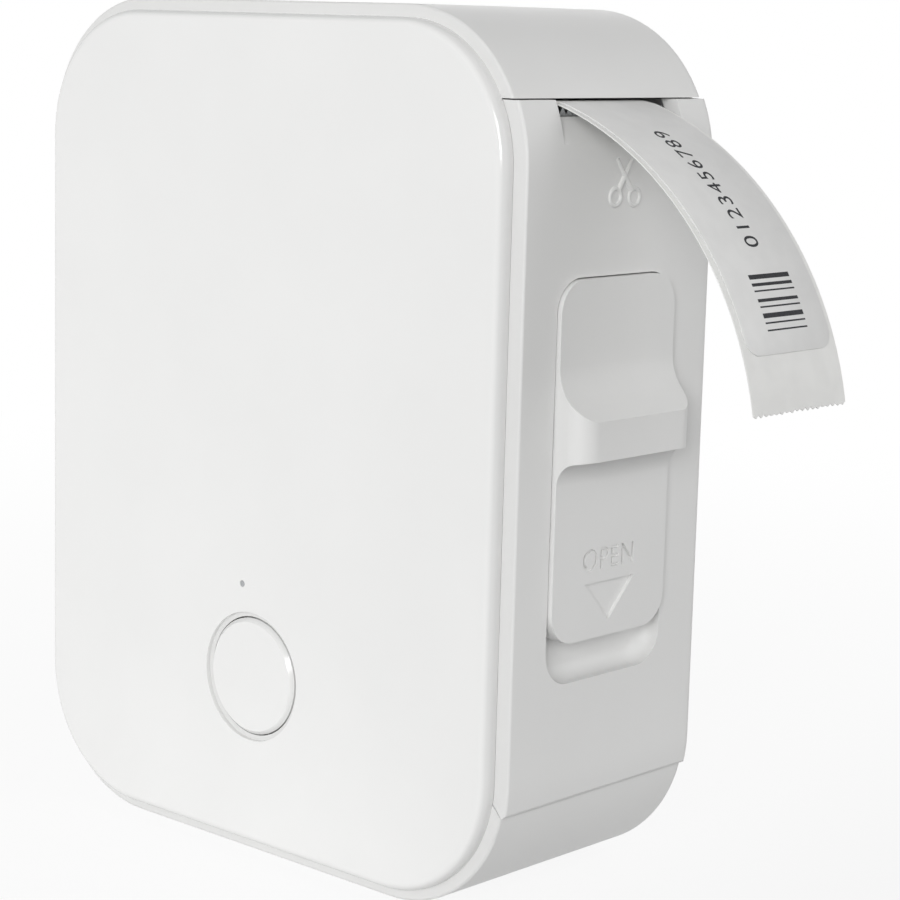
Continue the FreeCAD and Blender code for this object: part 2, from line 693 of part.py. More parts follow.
def front_panel():
    """The glossy face plate, standing proud of the rim, with a plug that drops inside it."""
    plate = case_prism("panel_plate", "-panel_inset", "FACE_Y", "RIM_Y")
    round_edges(plate, "panel_edge", at_end("Y", -value("panel_proud")/2))
    plug = case_prism("panel_plug", "-wall - fit_gap", "RIM_Y", "PANEL_BACK")
    groove = rod("button_groove", "y", "groove_diameter/2", ("FACE_Y - tool_over", "FACE_Y + groove_depth"),
                 ("0", "button_z"))
    hole = rod("button_hole", "y", "button_diameter/2 + fit_gap",
               ("FACE_Y - tool_over", "PANEL_BACK + tool_over"), ("0", "button_z"))
    light = rod("light_hole", "y", "light_radius + running_gap",
                ("FACE_Y - tool_over", "PANEL_BACK + tool_over"), ("light_x", "light_z"))
    catch = box("front_catch", CATCH_X, ("PANEL_BACK - panel_plug/2", "-ARM_OUTER + hook_plate"), CATCH_Z)
    return node(cut("panel", fuse("panel_blank", [plate, plug, catch]), [groove, hole, light]),
                "front_panel")


def power_button():
    """A round cap held behind the panel by its flange, pressing a switch through a short stem."""
    cap = rod("button_cap", "y", "button_diameter/2", ("FACE_Y", "PANEL_BACK + fit_gap"), ("0", "button_z"))
    flange = rod("button_flange_disc", "y", "groove_diameter/2 + button_flange_over",
                 ("PANEL_BACK + fit_gap", "PANEL_BACK + fit_gap + button_flange"), ("0", "button_z"))
    stem = rod("button_stem", "y", "button_stem_radius",
               ("PANEL_BACK + fit_gap", "SWITCH_TOP - plunger_height"), ("0", "button_z"))
    dish = doc.addObject("Part::Chamfer", "button_bevel")
    doc.recompute()
    dish.Base = cap
    rim = [i for i, edge in enumerate(cap.Shape.Edges, start=1)
           if edge.BoundBox.YMax < value("FACE_Y") + NEAR and edge.Closed]
    dish.Edges = [(i, value("button_crown"), value("button_crown")) for i in rim]
    node(fuse("button_whole", [dish, flange, stem]), "power_button")
    plunger = rod("plunger", "y", "plunger_radius",
                  ("SWITCH_TOP - plunger_height", "BOARD_FRONT - button_travel - running_gap"),
                  ("0", "button_z"))
    node(plunger, "switch_plunger")
    half = "switch_size/2"
    case = box("switch_case", ("-" + half, half), ("SWITCH_TOP", "BOARD_FRONT"),
               ("button_z - " + half, "button_z + " + half))
    bore = rod("switch_bore", "y", "plunger_radius + running_gap",
               ("SWITCH_TOP - tool_over", "BOARD_FRONT"), ("0", "button_z"))
    node(cut("switch", case, [bore]), "tact_switch")
    pipe = rod("light_pipe", "y", "light_radius", ("FACE_Y", "PANEL_BACK"), ("light_x", "light_z"))
    collar = rod("light_collar", "y", "light_collar_radius", ("PANEL_BACK", "BOARD_FRONT"),
                 ("light_x", "light_z"))
    node(fuse("light", [pipe, collar]), "status_light")


def lid_shell():
    """The side lid's outer skin, with the latch recess and the tape outlet."""
    outer = rounded_case("lid_outer", "lid_step")
    inner = case_prism("lid_inner", "lid_step - lid_wall", "RIM_Y - tool_over", "BACK_Y + tool_over")
    span = box("lid_span", ("ARC_X", "LID_X + tool_over"), ("RIM_Y - tool_over", "BACK_Y + tool_over"),
               ("LID_LOW", "LID_HIGH"))
    skin = common("lid_skin", [cut("lid_ring", outer, [inner]), span])
    # The front edge reaches in behind the face panel, so that no light falls between them.
    edge = case_prism("lid_lip_outer", "lid_step - lid_wall/2", "RIM_Y + running_gap", "PANEL_BACK")
    opening = case_prism("lid_lip_opening", "-wall", "RIM_Y", "PANEL_BACK + tool_over")
    lip = common("lid_lip", [cut("lid_lip_ring", edge, [opening]), span])
    tray = box("recess_tray", ("RECESS_BACK", "LID_IN + lid_wall/2"),
               ("RECESS_FRONT - recess_floor/2", "RECESS_REAR + recess_floor/2"),
               ("RECESS_LOW - recess_floor/2", "RECESS_HIGH + recess_floor/2"))
    shelf = box("spring_shelf", ("RECESS_BACK - hook_gap - 1.5*hook_plate", "RECESS_BACK"),
                ("-HOOK_HALF", "HOOK_HALF"), ("SPRING_LOW - hook_plate", "SPRING_LOW"))
    recess = rounded("recess", "YZ", ("RECESS_FRONT", "RECESS_REAR"), ("RECESS_LOW", "RECESS_HIGH"),
                     "recess_corner", "RECESS_BED", "LID_X + tool_over")
    round_edges(recess, "recess_blend", at_end("X", -value("recess_depth + tool_over")/2))
    post_slot = box("post_slot", ("RECESS_BACK - tool_over", "RECESS_BED + tool_over"),
                    ("-post_half - latch_gap", "post_half + latch_gap"),
                    ("POST_LOW - latch_travel - latch_gap", "POST_HIGH + latch_gap"))
    notch = box("tape_notch", ("ARC_X", "LID_X + tool_over"), ("-notch_half", "notch_half"),
                ("NOTCH_LOW", "LID_HIGH + tool_over"))
    scoop = prism("tape_scoop", "XZ", [
        ("SCOOP_X", "SCOOP_LOW"),
        ("LID_X + 3*tool_over", "SCOOP_LOW"),
        ("LID_X + 3*tool_over", "LID_HIGH + tool_over"),
        ("NOTCH_X", "LID_HIGH + tool_over"),
        ("NOTCH_X", "NOTCH_LOW"),
    ], "-notch_half", "notch_half")
    bevel = prism("lid_foot_bevel", "XZ", [
        ("LID_FOOT_X - lid_bevel - tool_over", "LID_LOW - tool_over"),
        ("LID_FOOT_X + tool_over", "LID_LOW - tool_over"),
        ("LID_FOOT_X + tool_over", "LID_LOW + lid_bevel + tool_over"),
    ], "RIM_Y - tool_over", "BACK_Y + tool_over")
    swing = rod("hinge_clearance", "y", "HINGE_SWEEP", ("RIM_Y - tool_over", "BACK_Y + tool_over"),
                ("HINGE_X", "hinge_height"))
    holes = [rod("rail_hole_%d" % i, "x", "small_screw_radius",
                 ("LID_IN - tool_over", "LID_IN + screw_bite"), place)
             for i, place in enumerate(RAIL_SCREWS)]
    whole = fuse("lid_blank", [skin, lip, tray, shelf])
    return node(cut("lid", whole, [recess, post_slot, notch, scoop, bevel, swing] + holes), "lid_shell")


def lid_frame():
    """The lid's inner moulding: two rails, goose-neck hinge arms, bearing cheeks and the blade's bar."""
    pieces, holes = [], []
    inside = case_prism("frame_limit", "lid_step - lid_wall - fit_gap", "-ARM_OUTER", "ARM_OUTER")
    for i, (low, high) in enumerate((("-ARM_OUTER", "-ARM_INNER"), ("ARM_INNER", "ARM_OUTER"))):
        rail = box("rail_%d" % i, ("RAIL_X", "LID_IN - fit_gap"), (low, high), ("RAIL_LOW", "RAIL_TOP"))
        top = box("arm_top_%d" % i, ("NECK_X", "LID_IN - fit_gap"), (low, high),
                  ("RAIL_LOW", "RAIL_LOW + arm_top"))
        neck = box("arm_neck_%d" % i, ("NECK_X", "NECK_X + arm_bar"), (low, high),
                   ("hinge_height - arm_bar/2", "RAIL_LOW + arm_top"))
        foot = box("arm_foot_%d" % i, ("NECK_X", "HINGE_X"), (low, high),
                   ("hinge_height - arm_bar/2", "hinge_height + arm_bar/2"))
        eye = rod("arm_eye_%d" % i, "y", "hinge_eye_radius", (low, high), ("HINGE_X", "hinge_height"))
        shoulder = box("rail_shoulder_%d" % i, ("RAIL_X - rail_thick", "LID_IN - fit_gap"), (low, high),
                       ("PLATEN_Z - cheek_radius", "RAIL_TOP"))
        pieces += [rail, shoulder, top, neck, foot, eye]
    for i, (low, high) in enumerate((CHEEK_FRONT, CHEEK_REAR)):
        arm = box("cheek_arm_%d" % i, ("CURL_X", "BLADE_X"), (low, high),
                  ("PLATEN_Z - cheek_radius", "RAIL_TOP"))
        disc = rod("cheek_disc_%d" % i, "y", "cheek_radius", (low, high), ("CURL_X", "PLATEN_Z"))
        pieces += [arm, disc]
    bar = box("blade_bar", ("RAIL_X - rail_thick", "BLADE_X"), ("-ARM_OUTER", "ARM_OUTER"),
              ("PLATEN_Z - cheek_radius", "RAIL_TOP"))
    pieces.append(bar)
    holes.append(rod("arm_bore", "y", "hinge_pin_radius + running_gap",
                     ("-ARM_OUTER - tool_over", "ARM_OUTER + tool_over"), ("HINGE_X", "hinge_height")))
    holes.append(rod("cheek_bore", "y", "bush_radius",
                     ("CHEEK_FRONT_LOW - tool_over", "CHEEK_REAR_HIGH + tool_over"), ("CURL_X", "PLATEN_Z")))
    holes += [rod("rail_clear_%d" % i, "x", "small_screw_radius",
                  ("RAIL_X - tool_over", "LID_IN + tool_over"), place)
              for i, place in enumerate(RAIL_SCREWS)]
    trimmed = common("lid_frame_trim", [fuse("lid_frame_blank", pieces), inside])
    node(cut("lid_frame_whole", trimmed, holes), "lid_frame")
    screws = []
    for i, place in enumerate(RAIL_SCREWS):
        screws.append(rod("rail_screw_head_%d" % i, "x", "rail_head_radius",
                          ("RAIL_X - small_head_height", "RAIL_X"), place))
        screws.append(rod("rail_screw_%d" % i, "x", "small_screw_radius", ("RAIL_X", "LID_IN + screw_bite"),
                          place))
    node(fuse("rail_screws", screws), "lid_screws")
    pin = rod("hinge_rod", "y", "hinge_pin_radius", ("-ARM_OUTER", "ARM_OUTER"),
              ("HINGE_X", "hinge_height"))
    node(pin, "lid_hinge_pin")


def tear_bar():
    """A thin serrated blade standing behind the tape outlet."""
    half, pitch = value("notch_half - fit_gap"), value("blade_pitch")
    base, top = value("BLADE_TOP - blade_height"), value("BLADE_TOP")
    valley = top - value("blade_tooth")
    teeth = int(2*half/pitch)
    step = 2*half/teeth
    x = value("BLADE_X")
    points = [FreeCAD.Vector(x, -half, base), FreeCAD.Vector(x, -half, valley)]
    for i in range(teeth):
        points.append(FreeCAD.Vector(x, -half + (i + 0.5)*step, top))
        points.append(FreeCAD.Vector(x, -half + (i + 1)*step, valley))
    points += [FreeCAD.Vector(x, half, base), points[0]]
    blade = Part.Face(Part.makePolygon(points)).extrude(FreeCAD.Vector(value("blade_thick"), 0, 0))
    return node(solid("blade", blade), "tear_bar")


def latch():
    """The finger slide in the lid, the hooks behind it and their return springs."""
    low, high = "LATCH_LOW", "LATCH_HIGH"
    profile = prism("latch_profile", "XZ", [
        ("LATCH_BACK", low), ("LATCH_FRONT", low),
        ("LATCH_FRONT", "RIDGE_LOW - ridge_undercut"), ("RIDGE_X", "RIDGE_LOW"),
        ("RIDGE_X", "RIDGE_HIGH"), ("LATCH_FRONT", "RIDGE_HIGH + ridge_slope"),
        ("LATCH_FRONT", high), ("LATCH_BACK", high),
    ], "RECESS_FRONT", "RECESS_REAR")
    round_edges(profile, "ridge_top_blend",
                along("Y", [(value("LATCH_FRONT"), value("RIDGE_HIGH + ridge_slope"))]))
    round_edges(profile, "ridge_low_blend",
                along("Y", [(value("LATCH_FRONT"), value("RIDGE_LOW - ridge_undercut"))]))
    plan = rounded("latch_plan", "XY", ("LATCH_BACK - 4*ridge_end", "RIDGE_X"),
                   ("LATCH_SIDE_FRONT", "LATCH_SIDE_REAR"), "ridge_end", low, high)
    face = rounded("latch_face", "YZ", ("LATCH_SIDE_FRONT", "LATCH_SIDE_REAR"), (low, high),
                   "recess_corner - latch_gap", "LATCH_BACK", "RIDGE_X")
    slide = common("latch_slide", [profile, plan, face])
    post = box("latch_post", ("HOOK_X + hook_plate", "LATCH_BACK + recess_floor"),
               ("-post_half", "post_half"), ("POST_LOW", "POST_HIGH"))
    node(fuse("latch_whole", [slide, post]), "latch_slider")
    plate = box("hook_back", ("HOOK_X", "HOOK_X + hook_plate"), ("-HOOK_HALF", "HOOK_HALF"),
                ("SPRING_HIGH", "HOOK_LOW + hook_bar"))
    yoke = box("hook_yoke", ("HOOK_X", "HOOK_X + hook_plate"), ("-ARM_OUTER", "ARM_OUTER"),
               ("HOOK_LOW", "HOOK_LOW + hook_bar"))
    pieces = [plate, yoke]
    for i, span in enumerate((("-ARM_OUTER", "-ARM_OUTER + hook_plate"),
                              ("ARM_OUTER - hook_plate", "ARM_OUTER"))):
        pieces.append(box("hook_arm_%d" % i, ("HOOK_X - hook_reach + hook_plate", "HOOK_X"), span,
                          ("HOOK_LOW", "HOOK_LOW + hook_bar")))
        pieces.append(box("hook_tip_%d" % i, ("HOOK_X - hook_reach", "HOOK_X - hook_reach + hook_plate"),
                          span, ("HOOK_LOW", "HOOK_LOW + hook_tip")))
    node(fuse("hooks", pieces), "latch_hooks")
    coils = []
    for i, side in enumerate(("-", "")):
        at = ("HOOK_X + hook_plate/2", "%s(post_half + hook_margin/2)" % side)
        span = ("SPRING_LOW", "SPRING_HIGH")
        barrel = rod("latch_coil_%d" % i, "z", "spring_radius", span, at)
        bore = rod("latch_coil_bore_%d" % i, "z", "spring_radius - spring_wire", span, at)
        coils.append(cut("latch_spring_%d" % i, barrel, [bore]))
    node(fuse("latch_spring_pair", coils), "latch_springs")


def torn_edge(end, degrees):
    """The saw-tooth sliver that the blade leaves off the end of a strip."""
    angle = math.radians(degrees)
    outward = FreeCAD.Vector(math.cos(angle), 0, math.sin(angle))
    onward = FreeCAD.Vector(math.sin(angle), 0, -math.cos(angle))
    teeth = int(value("tape_width/blade_pitch"))
    step = value("tape_width")/teeth
    depth, thick = value("torn_depth"), value("tape_thick")
    base = end - outward*(2*thick)
    over = value("tool_over")

    def place(along_strip, across):
        return base + onward*along_strip + FreeCAD.Vector(0, across, 0)

    points = [place(over, -over), place(0, -over), place(0, 0)]
    for i in range(teeth):
        points.append(place(-depth, (i + 0.5)*step))
        points.append(place(0, (i + 1)*step))
    points += [place(0, teeth*step + over), place(over, teeth*step + over), points[0]]
    return Part.Face(Part.makePolygon(points)).extrude(outward*(3*thick))


def label_stock():
    """The wound roll on its core and spindle, the web up to the print line and the printed strip outside."""
    front, back = "TAPE_FRONT", "TAPE_BACK"
    at = ("roll_x", "roll_z")
    wound = rod("wound", "y", "roll_radius", (front, back), at)
    node(cut("roll", wound, [rod("roll_bore", "y", "core_radius", (front, back), at)]), "label_roll")
    tube = rod("tube", "y", "core_radius", (front, back), at)
    node(cut("core", tube, [rod("core_bore", "y", "core_radius - core_wall", (front, back), at)]),
         "roll_core")
    hub = rod("hub", "y", "core_radius - core_wall - running_gap", (front, back), at)
    ends = rod("hub_ends", "y", "spindle_end_radius",
               ("PLATE_FRONT_LOW + spindle_end_gap", "PLATE_REAR_HIGH - spindle_end_gap"), at)
    node(fuse("spindle", [hub, ends]), "roll_spindle")

    half, depth = value("tape_thick")/2, FreeCAD.Vector(0, value("tape_width"), 0)
    y = value(front)

    def at_angle(centre, radius, degrees):
        angle = math.radians(degrees)
        return FreeCAD.Vector(centre[0] + radius*math.cos(angle), y, centre[1] + radius*math.sin(angle))

    def band(path):
        return Part.Face(Part.Wire([edge.toShape() for edge in path])).extrude(depth)

    # The strip leaves the print line level, bends under the case's edge and curls down outside.
    curl, radius, bend = (value("CURL_X"), value("CURL_Z")), value("curl_radius"), value("exit_bend")
    level, leave, last = 90.0, value("exit_angle"), value("curl_end_angle")
    lift = at_angle(curl, radius - bend, leave)
    edge = (lift.x, lift.z)
    height = value("TAPE_Z")

    def side_line(offset):
        """The strip's middle line moved outwards by an offset, as its start and two arcs."""
        start = FreeCAD.Vector(curl[0], y, height + offset)
        turn = [at_angle(edge, bend + offset, a) for a in (level, (level + leave)/2, leave)]
        drop = [at_angle(curl, radius + offset, a) for a in (leave, (leave + last)/2, last)]
        return start, turn, drop

    start_out, turn_out, drop_out = side_line(half)
    start_in, turn_in, drop_in = side_line(-half)
    strip = band([Part.LineSegment(start_out, turn_out[0]), Part.Arc(*turn_out), Part.Arc(*drop_out),
                  Part.LineSegment(drop_out[2], drop_in[2]),
                  Part.Arc(*reversed(drop_in)), Part.Arc(*reversed(turn_in)),
                  Part.LineSegment(turn_in[0], start_in), Part.LineSegment(start_in, start_out)])
    node(solid("strip", strip.cut(torn_edge(drop_out[2], last))), "label_strip")

    # The web leaves the roll on a tangent, turns over the guide bar and runs level to the print line.
    guide = (value("GUIDE_X"), value("GUIDE_Z"))
    bend = value("guide_radius + tape_gap") + half
    roll = (value("roll_x"), value("roll_z"))
    away = math.hypot(guide[0] - roll[0], guide[1] - roll[1])
    bearing = math.degrees(math.atan2(guide[1] - roll[1], guide[0] - roll[0]))
    clear = value("roll_radius + roll_gap") + half
    lean = bearing + math.degrees(math.acos((clear - bend)/away))
    rise = [at_angle(roll, clear + s*half, lean) for s in (1, -1)]
    turn_out = [at_angle(guide, bend + half, a) for a in (lean, (lean + level)/2, level)]
    turn_in = [at_angle(guide, bend - half, a) for a in (level, (lean + level)/2, lean)]
    stop = curl[0] - value("tape_gap")
    end_out, end_in = (FreeCAD.Vector(stop, y, p.z) for p in (turn_out[2], turn_in[0]))
    web = band([Part.LineSegment(rise[0], turn_out[0]), Part.Arc(*turn_out),
                Part.LineSegment(turn_out[2], end_out), Part.LineSegment(end_out, end_in),
                Part.LineSegment(end_in, turn_in[0]), Part.Arc(*turn_in),
                Part.LineSegment(turn_in[2], rise[1]), Part.LineSegment(rise[1], rise[0])])
    node(solid("web", web), "label_web")


def inner_frame():
    """Two side plates with spindle slots, the roll cradle, the guide bar and the head's bridge."""
    shoulder = "PLATEN_Z - cheek_radius - shoulder_gap"
    outline = [("PLATE_LEFT", "plate_low"), ("PLATE_RIGHT - plate_foot", "plate_low"),
               ("PLATE_RIGHT - plate_step", "plate_low + plate_rise"),
               ("PLATE_RIGHT", "plate_low + plate_rise"), ("PLATE_RIGHT", shoulder),
               ("GUIDE_X + plate_neck", shoulder), ("GUIDE_X + plate_neck", "PLATE_TOP"),
               ("PLATE_LEFT + plate_step", "PLATE_TOP"), ("PLATE_LEFT", "PLATE_TOP - plate_rise")]
    pieces = [prism("plate_%d" % i, "XZ", outline, low, high)
              for i, (low, high) in enumerate((PLATE_FRONT, PLATE_REAR))]
    bay = ("PLATE_FRONT_HIGH", "PLATE_REAR_LOW")
    shell = rod("cradle_shell", "y", "roll_radius + cradle_gap + cradle_wall", bay, ("roll_x", "roll_z"))
    room = rod("cradle_room", "y", "roll_radius + cradle_gap", bay, ("roll_x", "roll_z"))
    reach = box("cradle_reach", ("PLATE_LEFT", "roll_x + cradle_reach"), bay,
                ("plate_low", "roll_z + cradle_high"))
    pieces.append(common("cradle", [cut("cradle_ring", shell, [room]), reach]))
    pieces.append(rod("guide_bar", "y", "guide_radius", bay, ("GUIDE_X", "GUIDE_Z")))
    pieces.append(box("head_bridge", ("HEAD_PIVOT_X - bridge_lap", "GUIDE_X + plate_neck"), bay,
                      ("PLATE_TOP - bridge_thick", "PLATE_TOP")))
    pieces += [rod("standoff_%d" % i, "y", "standoff_radius", ("BOARD_BACK", "PLATE_FRONT_LOW"), place)
               for i, place in enumerate(STANDOFFS)]
    slot = box("spindle_slot", ("roll_x", "PLATE_RIGHT + tool_over"),
               ("PLATE_FRONT_LOW - tool_over", "PLATE_REAR_HIGH + tool_over"),
               ("roll_z - spindle_end_radius - fit_gap", "roll_z + spindle_end_radius + fit_gap"))
    seat = rod("spindle_seat", "y", "spindle_end_radius + fit_gap",
               ("PLATE_FRONT_LOW - tool_over", "PLATE_REAR_HIGH + tool_over"), ("roll_x", "roll_z"))
    through = ("PLATE_REAR_LOW - tool_over", "PLATE_REAR_HIGH + tool_over")
    holes = [rod("frame_hole_%d" % i, "y", "screw_radius + running_gap", through, place)
             for i, place in enumerate(BOSSES)]
    holes += [rod("standoff_hole_%d" % i, "y", "small_screw_radius + running_gap",
                  ("BOARD_FRONT - tool_over", "PLATE_FRONT_HIGH + tool_over"), place)
              for i, place in enumerate(STANDOFFS)]
    holes.append(rod("motor_hole", "y", "motor_plate_way", through, ("MOTOR_X", "MOTOR_Z")))
    holes += [rod("motor_ear_hole_%d" % i, "y", "small_screw_radius + running_gap", through,
                  ("MOTOR_X %s motor_ear_reach" % side, "MOTOR_Z"))
              for i, side in enumerate("-+")]
    holes.append(rod("head_pin_hole", "y", "head_pin_radius",
                     ("PLATE_FRONT_LOW - tool_over", "PLATE_REAR_HIGH + tool_over"),
                     ("HEAD_PIVOT_X", "HEAD_PIVOT_Z")))
    motor, middle, platen = gear_train()
    foot = FreeCAD.Vector(middle.x, value("PLATE_REAR_LOW - tool_over"), middle.z)
    axle = Part.makeCylinder(value("axle_radius"), value("plate_thick + 2*tool_over"), foot,
                             FreeCAD.Vector(0, 1, 0))
    holes.append(solid("axle_hole", axle))
    relief = box("socket_relief", ("PLATE_LEFT - tool_over", "SOCKET_X + socket_length + fit_gap"),
                 ("PLATE_FRONT_LOW - tool_over", "PLATE_FRONT_HIGH + tool_over"),
                 ("socket_z - socket_width/2 - fit_gap", "socket_z + socket_width/2 + fit_gap"))
    whole = fuse("frame_blank", pieces)
    node(cut("frame", whole, [slot, seat, relief] + holes), "inner_frame")


def drive():
    """Stepper motor, pinion, two-step gear on its axle, and the platen with its gear and bushes."""
    motor, middle, platen = gear_train()
    at = ("MOTOR_X", "MOTOR_Z")
    can = rod("motor_can", "y", "motor_radius", ("PLATE_REAR_LOW - motor_length", "PLATE_REAR_LOW"), at)
    flange = rounded("motor_flange_plate", "XZ",
                     ("MOTOR_X - motor_ear_reach - motor_ear_radius",
                      "MOTOR_X + motor_ear_reach + motor_ear_radius"),
                     ("MOTOR_Z - motor_ear_radius", "MOTOR_Z + motor_ear_radius"),
                     "motor_ear_radius - running_gap", "PLATE_REAR_LOW - motor_flange", "PLATE_REAR_LOW")
    ears = [rod("motor_ear_bore_%d" % i, "y", "small_screw_radius + running_gap",
                ("PLATE_REAR_LOW - motor_flange - tool_over", "PLATE_REAR_LOW + tool_over"),
                ("MOTOR_X %s motor_ear_reach" % side, "MOTOR_Z"))
            for i, side in enumerate("-+")]
    shaft_way = rod("motor_shaft_way", "y", "motor_shaft_radius + running_gap",
                    ("PLATE_REAR_LOW - motor_shaft_way", "PLATE_REAR_LOW + tool_over"), at)
    node(cut("motor", fuse("motor_blank", [can, flange]), ears + [shaft_way]), "stepper_motor")
    shaft = rod("pinion_shaft", "y", "motor_shaft_radius",
                ("PLATE_REAR_LOW - motor_shaft_way", "GEAR_OUTER + gear_width"), at)
    doc.recompute()
    outer, inner, width = value("GEAR_OUTER"), value("GEAR_INNER"), value("gear_width")
    teeth = {name: int(value(name))
             for name in ("pinion_teeth", "large_teeth", "small_teeth", "platen_teeth")}
    wheel = gear(teeth["pinion_teeth"], motor, middle, outer, outer + width, value("motor_shaft_radius"))
    node(solid("pinion", wheel.fuse(shaft.Shape).removeSplitter()), "motor_pinion")
    clear = value("axle_radius + running_gap")
    large = gear(teeth["large_teeth"], middle, motor, outer, outer + width, clear, starts_with_gap=True)
    small = gear(teeth["small_teeth"], middle, platen, inner, outer, clear)
    node(solid("two_step", large.fuse(small).removeSplitter()), "reduction_gear")
    axle_low, axle_high = value("PLATE_REAR_LOW"), outer + width
    pin = Part.makeCylinder(value("axle_radius"), axle_high - axle_low,
                            FreeCAD.Vector(middle.x, axle_low, middle.z), FreeCAD.Vector(0, 1, 0))
    node(solid("axle", pin), "gear_axle")
    sleeve_at = ("CURL_X", "PLATEN_Z")
    sleeve_span = ("TAPE_FRONT - platen_over", "TAPE_BACK + platen_over")
    sleeve = rod("sleeve", "y", "platen_radius", sleeve_span, sleeve_at)
    bore_rod = rod("sleeve_bore", "y", "platen_shaft_radius", sleeve_span, sleeve_at)
    node(cut("sleeve_tube", sleeve, [bore_rod]), "platen_sleeve")
    node(rod("platen_rod", "y", "platen_shaft_radius", ("CHEEK_FRONT_LOW", "GEAR_INNER + gear_width"),
             sleeve_at), "platen_shaft")
    wheel = gear(teeth["platen_teeth"], platen, middle, inner, inner + width, value("platen_shaft_radius"),
                 starts_with_gap=True)
    node(solid("platen_wheel", wheel), "platen_gear")
    rings = []
    for i, span in enumerate((CHEEK_FRONT, CHEEK_REAR)):
        ring = rod("bush_%d" % i, "y", "bush_radius", span, sleeve_at)
        bore = rod("bush_bore_%d" % i, "y", "platen_shaft_radius + running_gap", span, sleeve_at)
        rings.append(cut("bush_ring_%d" % i, ring, [bore]))
    node(fuse("bushes", rings), "platen_bushes")


def print_head():
    """The heated ceramic under its heat sink, hinged on a pin and pressed down by two springs."""
    wide = ("TAPE_FRONT - platen_over", "TAPE_BACK + platen_over")
    ceramic = box("ceramic", ("HEAD_RIGHT - head_length", "HEAD_RIGHT"), wide,
                  ("HEAD_Z", "HEAD_Z + head_ceramic"))
    node(ceramic, "thermal_head")
    sink = box("sink", ("HEAD_PIVOT_X", "HEAD_RIGHT"), wide, ("HEAD_Z + head_ceramic", "HEAD_PIVOT_Z"))
    eye = rod("sink_eye", "y", "head_eye_radius", wide, ("HEAD_PIVOT_X", "HEAD_PIVOT_Z"))
    bore = rod("sink_bore", "y", "head_pin_radius + running_gap",
               ("%s - tool_over" % wide[0], "%s + tool_over" % wide[1]),
               ("HEAD_PIVOT_X", "HEAD_PIVOT_Z"))
    node(cut("sink_whole", fuse("sink_blank", [sink, eye]), [bore]), "head_heat_sink")
    node(rod("head_rod", "y", "head_pin_radius", ("PLATE_FRONT_LOW", "PLATE_REAR_HIGH"),
             ("HEAD_PIVOT_X", "HEAD_PIVOT_Z")), "head_pivot_pin")
    coils = []
    for i, side in enumerate("-+"):
        at = ("HEAD_SPRING_X", "TAPE_FRONT + tape_width/2 %s head_spring_half" % side)
        span = ("HEAD_PIVOT_Z", "PLATE_TOP - bridge_thick")
        barrel = rod("head_coil_%d" % i, "z", "head_spring_radius", span, at)
        hollow = rod("head_coil_bore_%d" % i, "z", "head_spring_radius - spring_wire", span, at)
        coils.append(cut("head_spring_%d" % i, barrel, [hollow]))
    node(fuse("head_spring_pair", coils), "head_springs")


def electronics():
    """Main board, battery, charging socket and the label gap sensor."""
    step_x, step_z = "BOARD_RIGHT - board_notch_wide", "board_low + board_notch_high"
    outline = [("BOARD_LEFT", "board_low"), (step_x, "board_low"), (step_x, step_z),
               ("BOARD_RIGHT", step_z), ("BOARD_RIGHT", "BOARD_HIGH"), ("BOARD_LEFT", "BOARD_HIGH")]
    board = prism("board", "XZ", outline, "BOARD_FRONT", "BOARD_BACK")
    holes = [rod("board_hole_%d" % i, "y", "small_screw_radius + running_gap",
                 ("BOARD_FRONT - tool_over", "BOARD_BACK + tool_over"), place)
             for i, place in enumerate(STANDOFFS)]
    node(cut("board_drilled", board, holes), "main_board")
    cell = rounded("cell", "XZ", ("BATTERY_LEFT", "BATTERY_RIGHT"), ("battery_low", "battery_high"),
                   "battery_corner", "PLATE_REAR_HIGH", "PLATE_REAR_HIGH + battery_thick")
    node(cell, "battery_cell")
    tube = rounded("socket_tube", "YZ", ("BOARD_BACK", "BOARD_BACK + socket_thick"),
                   ("socket_z - socket_width/2", "socket_z + socket_width/2"),
                   "socket_thick/2 - running_gap", "SOCKET_X", "SOCKET_X + socket_length")
    mouth = rounded("socket_mouth", "YZ",
                    ("BOARD_BACK + socket_wall", "BOARD_BACK + socket_thick - socket_wall"),
                    ("socket_z - socket_width/2 + socket_wall", "socket_z + socket_width/2 - socket_wall"),
                    "socket_thick/2 - socket_wall - running_gap", "SOCKET_X - tool_over",
                    "SOCKET_X + socket_length - socket_back")
    tongue = box("socket_tongue_plate",
                 ("SOCKET_X + tongue_sunk", "SOCKET_X + socket_length - socket_back/2"),
                 ("BOARD_BACK + socket_thick/2 - socket_tongue/2",
                  "BOARD_BACK + socket_thick/2 + socket_tongue/2"),
                 ("socket_z - socket_tongue_half", "socket_z + socket_tongue_half"))
    node(fuse("socket", [cut("socket_shell", tube, [mouth]), tongue]), "charging_socket")
    eye = box("sensor_case", ("SENSOR_X", "SENSOR_X + sensor_length"),
              ("PLATE_REAR_LOW - sensor_high", "PLATE_REAR_LOW"), ("SENSOR_Z", "SENSOR_Z + sensor_high"))
    node(eye, "gap_sensor")


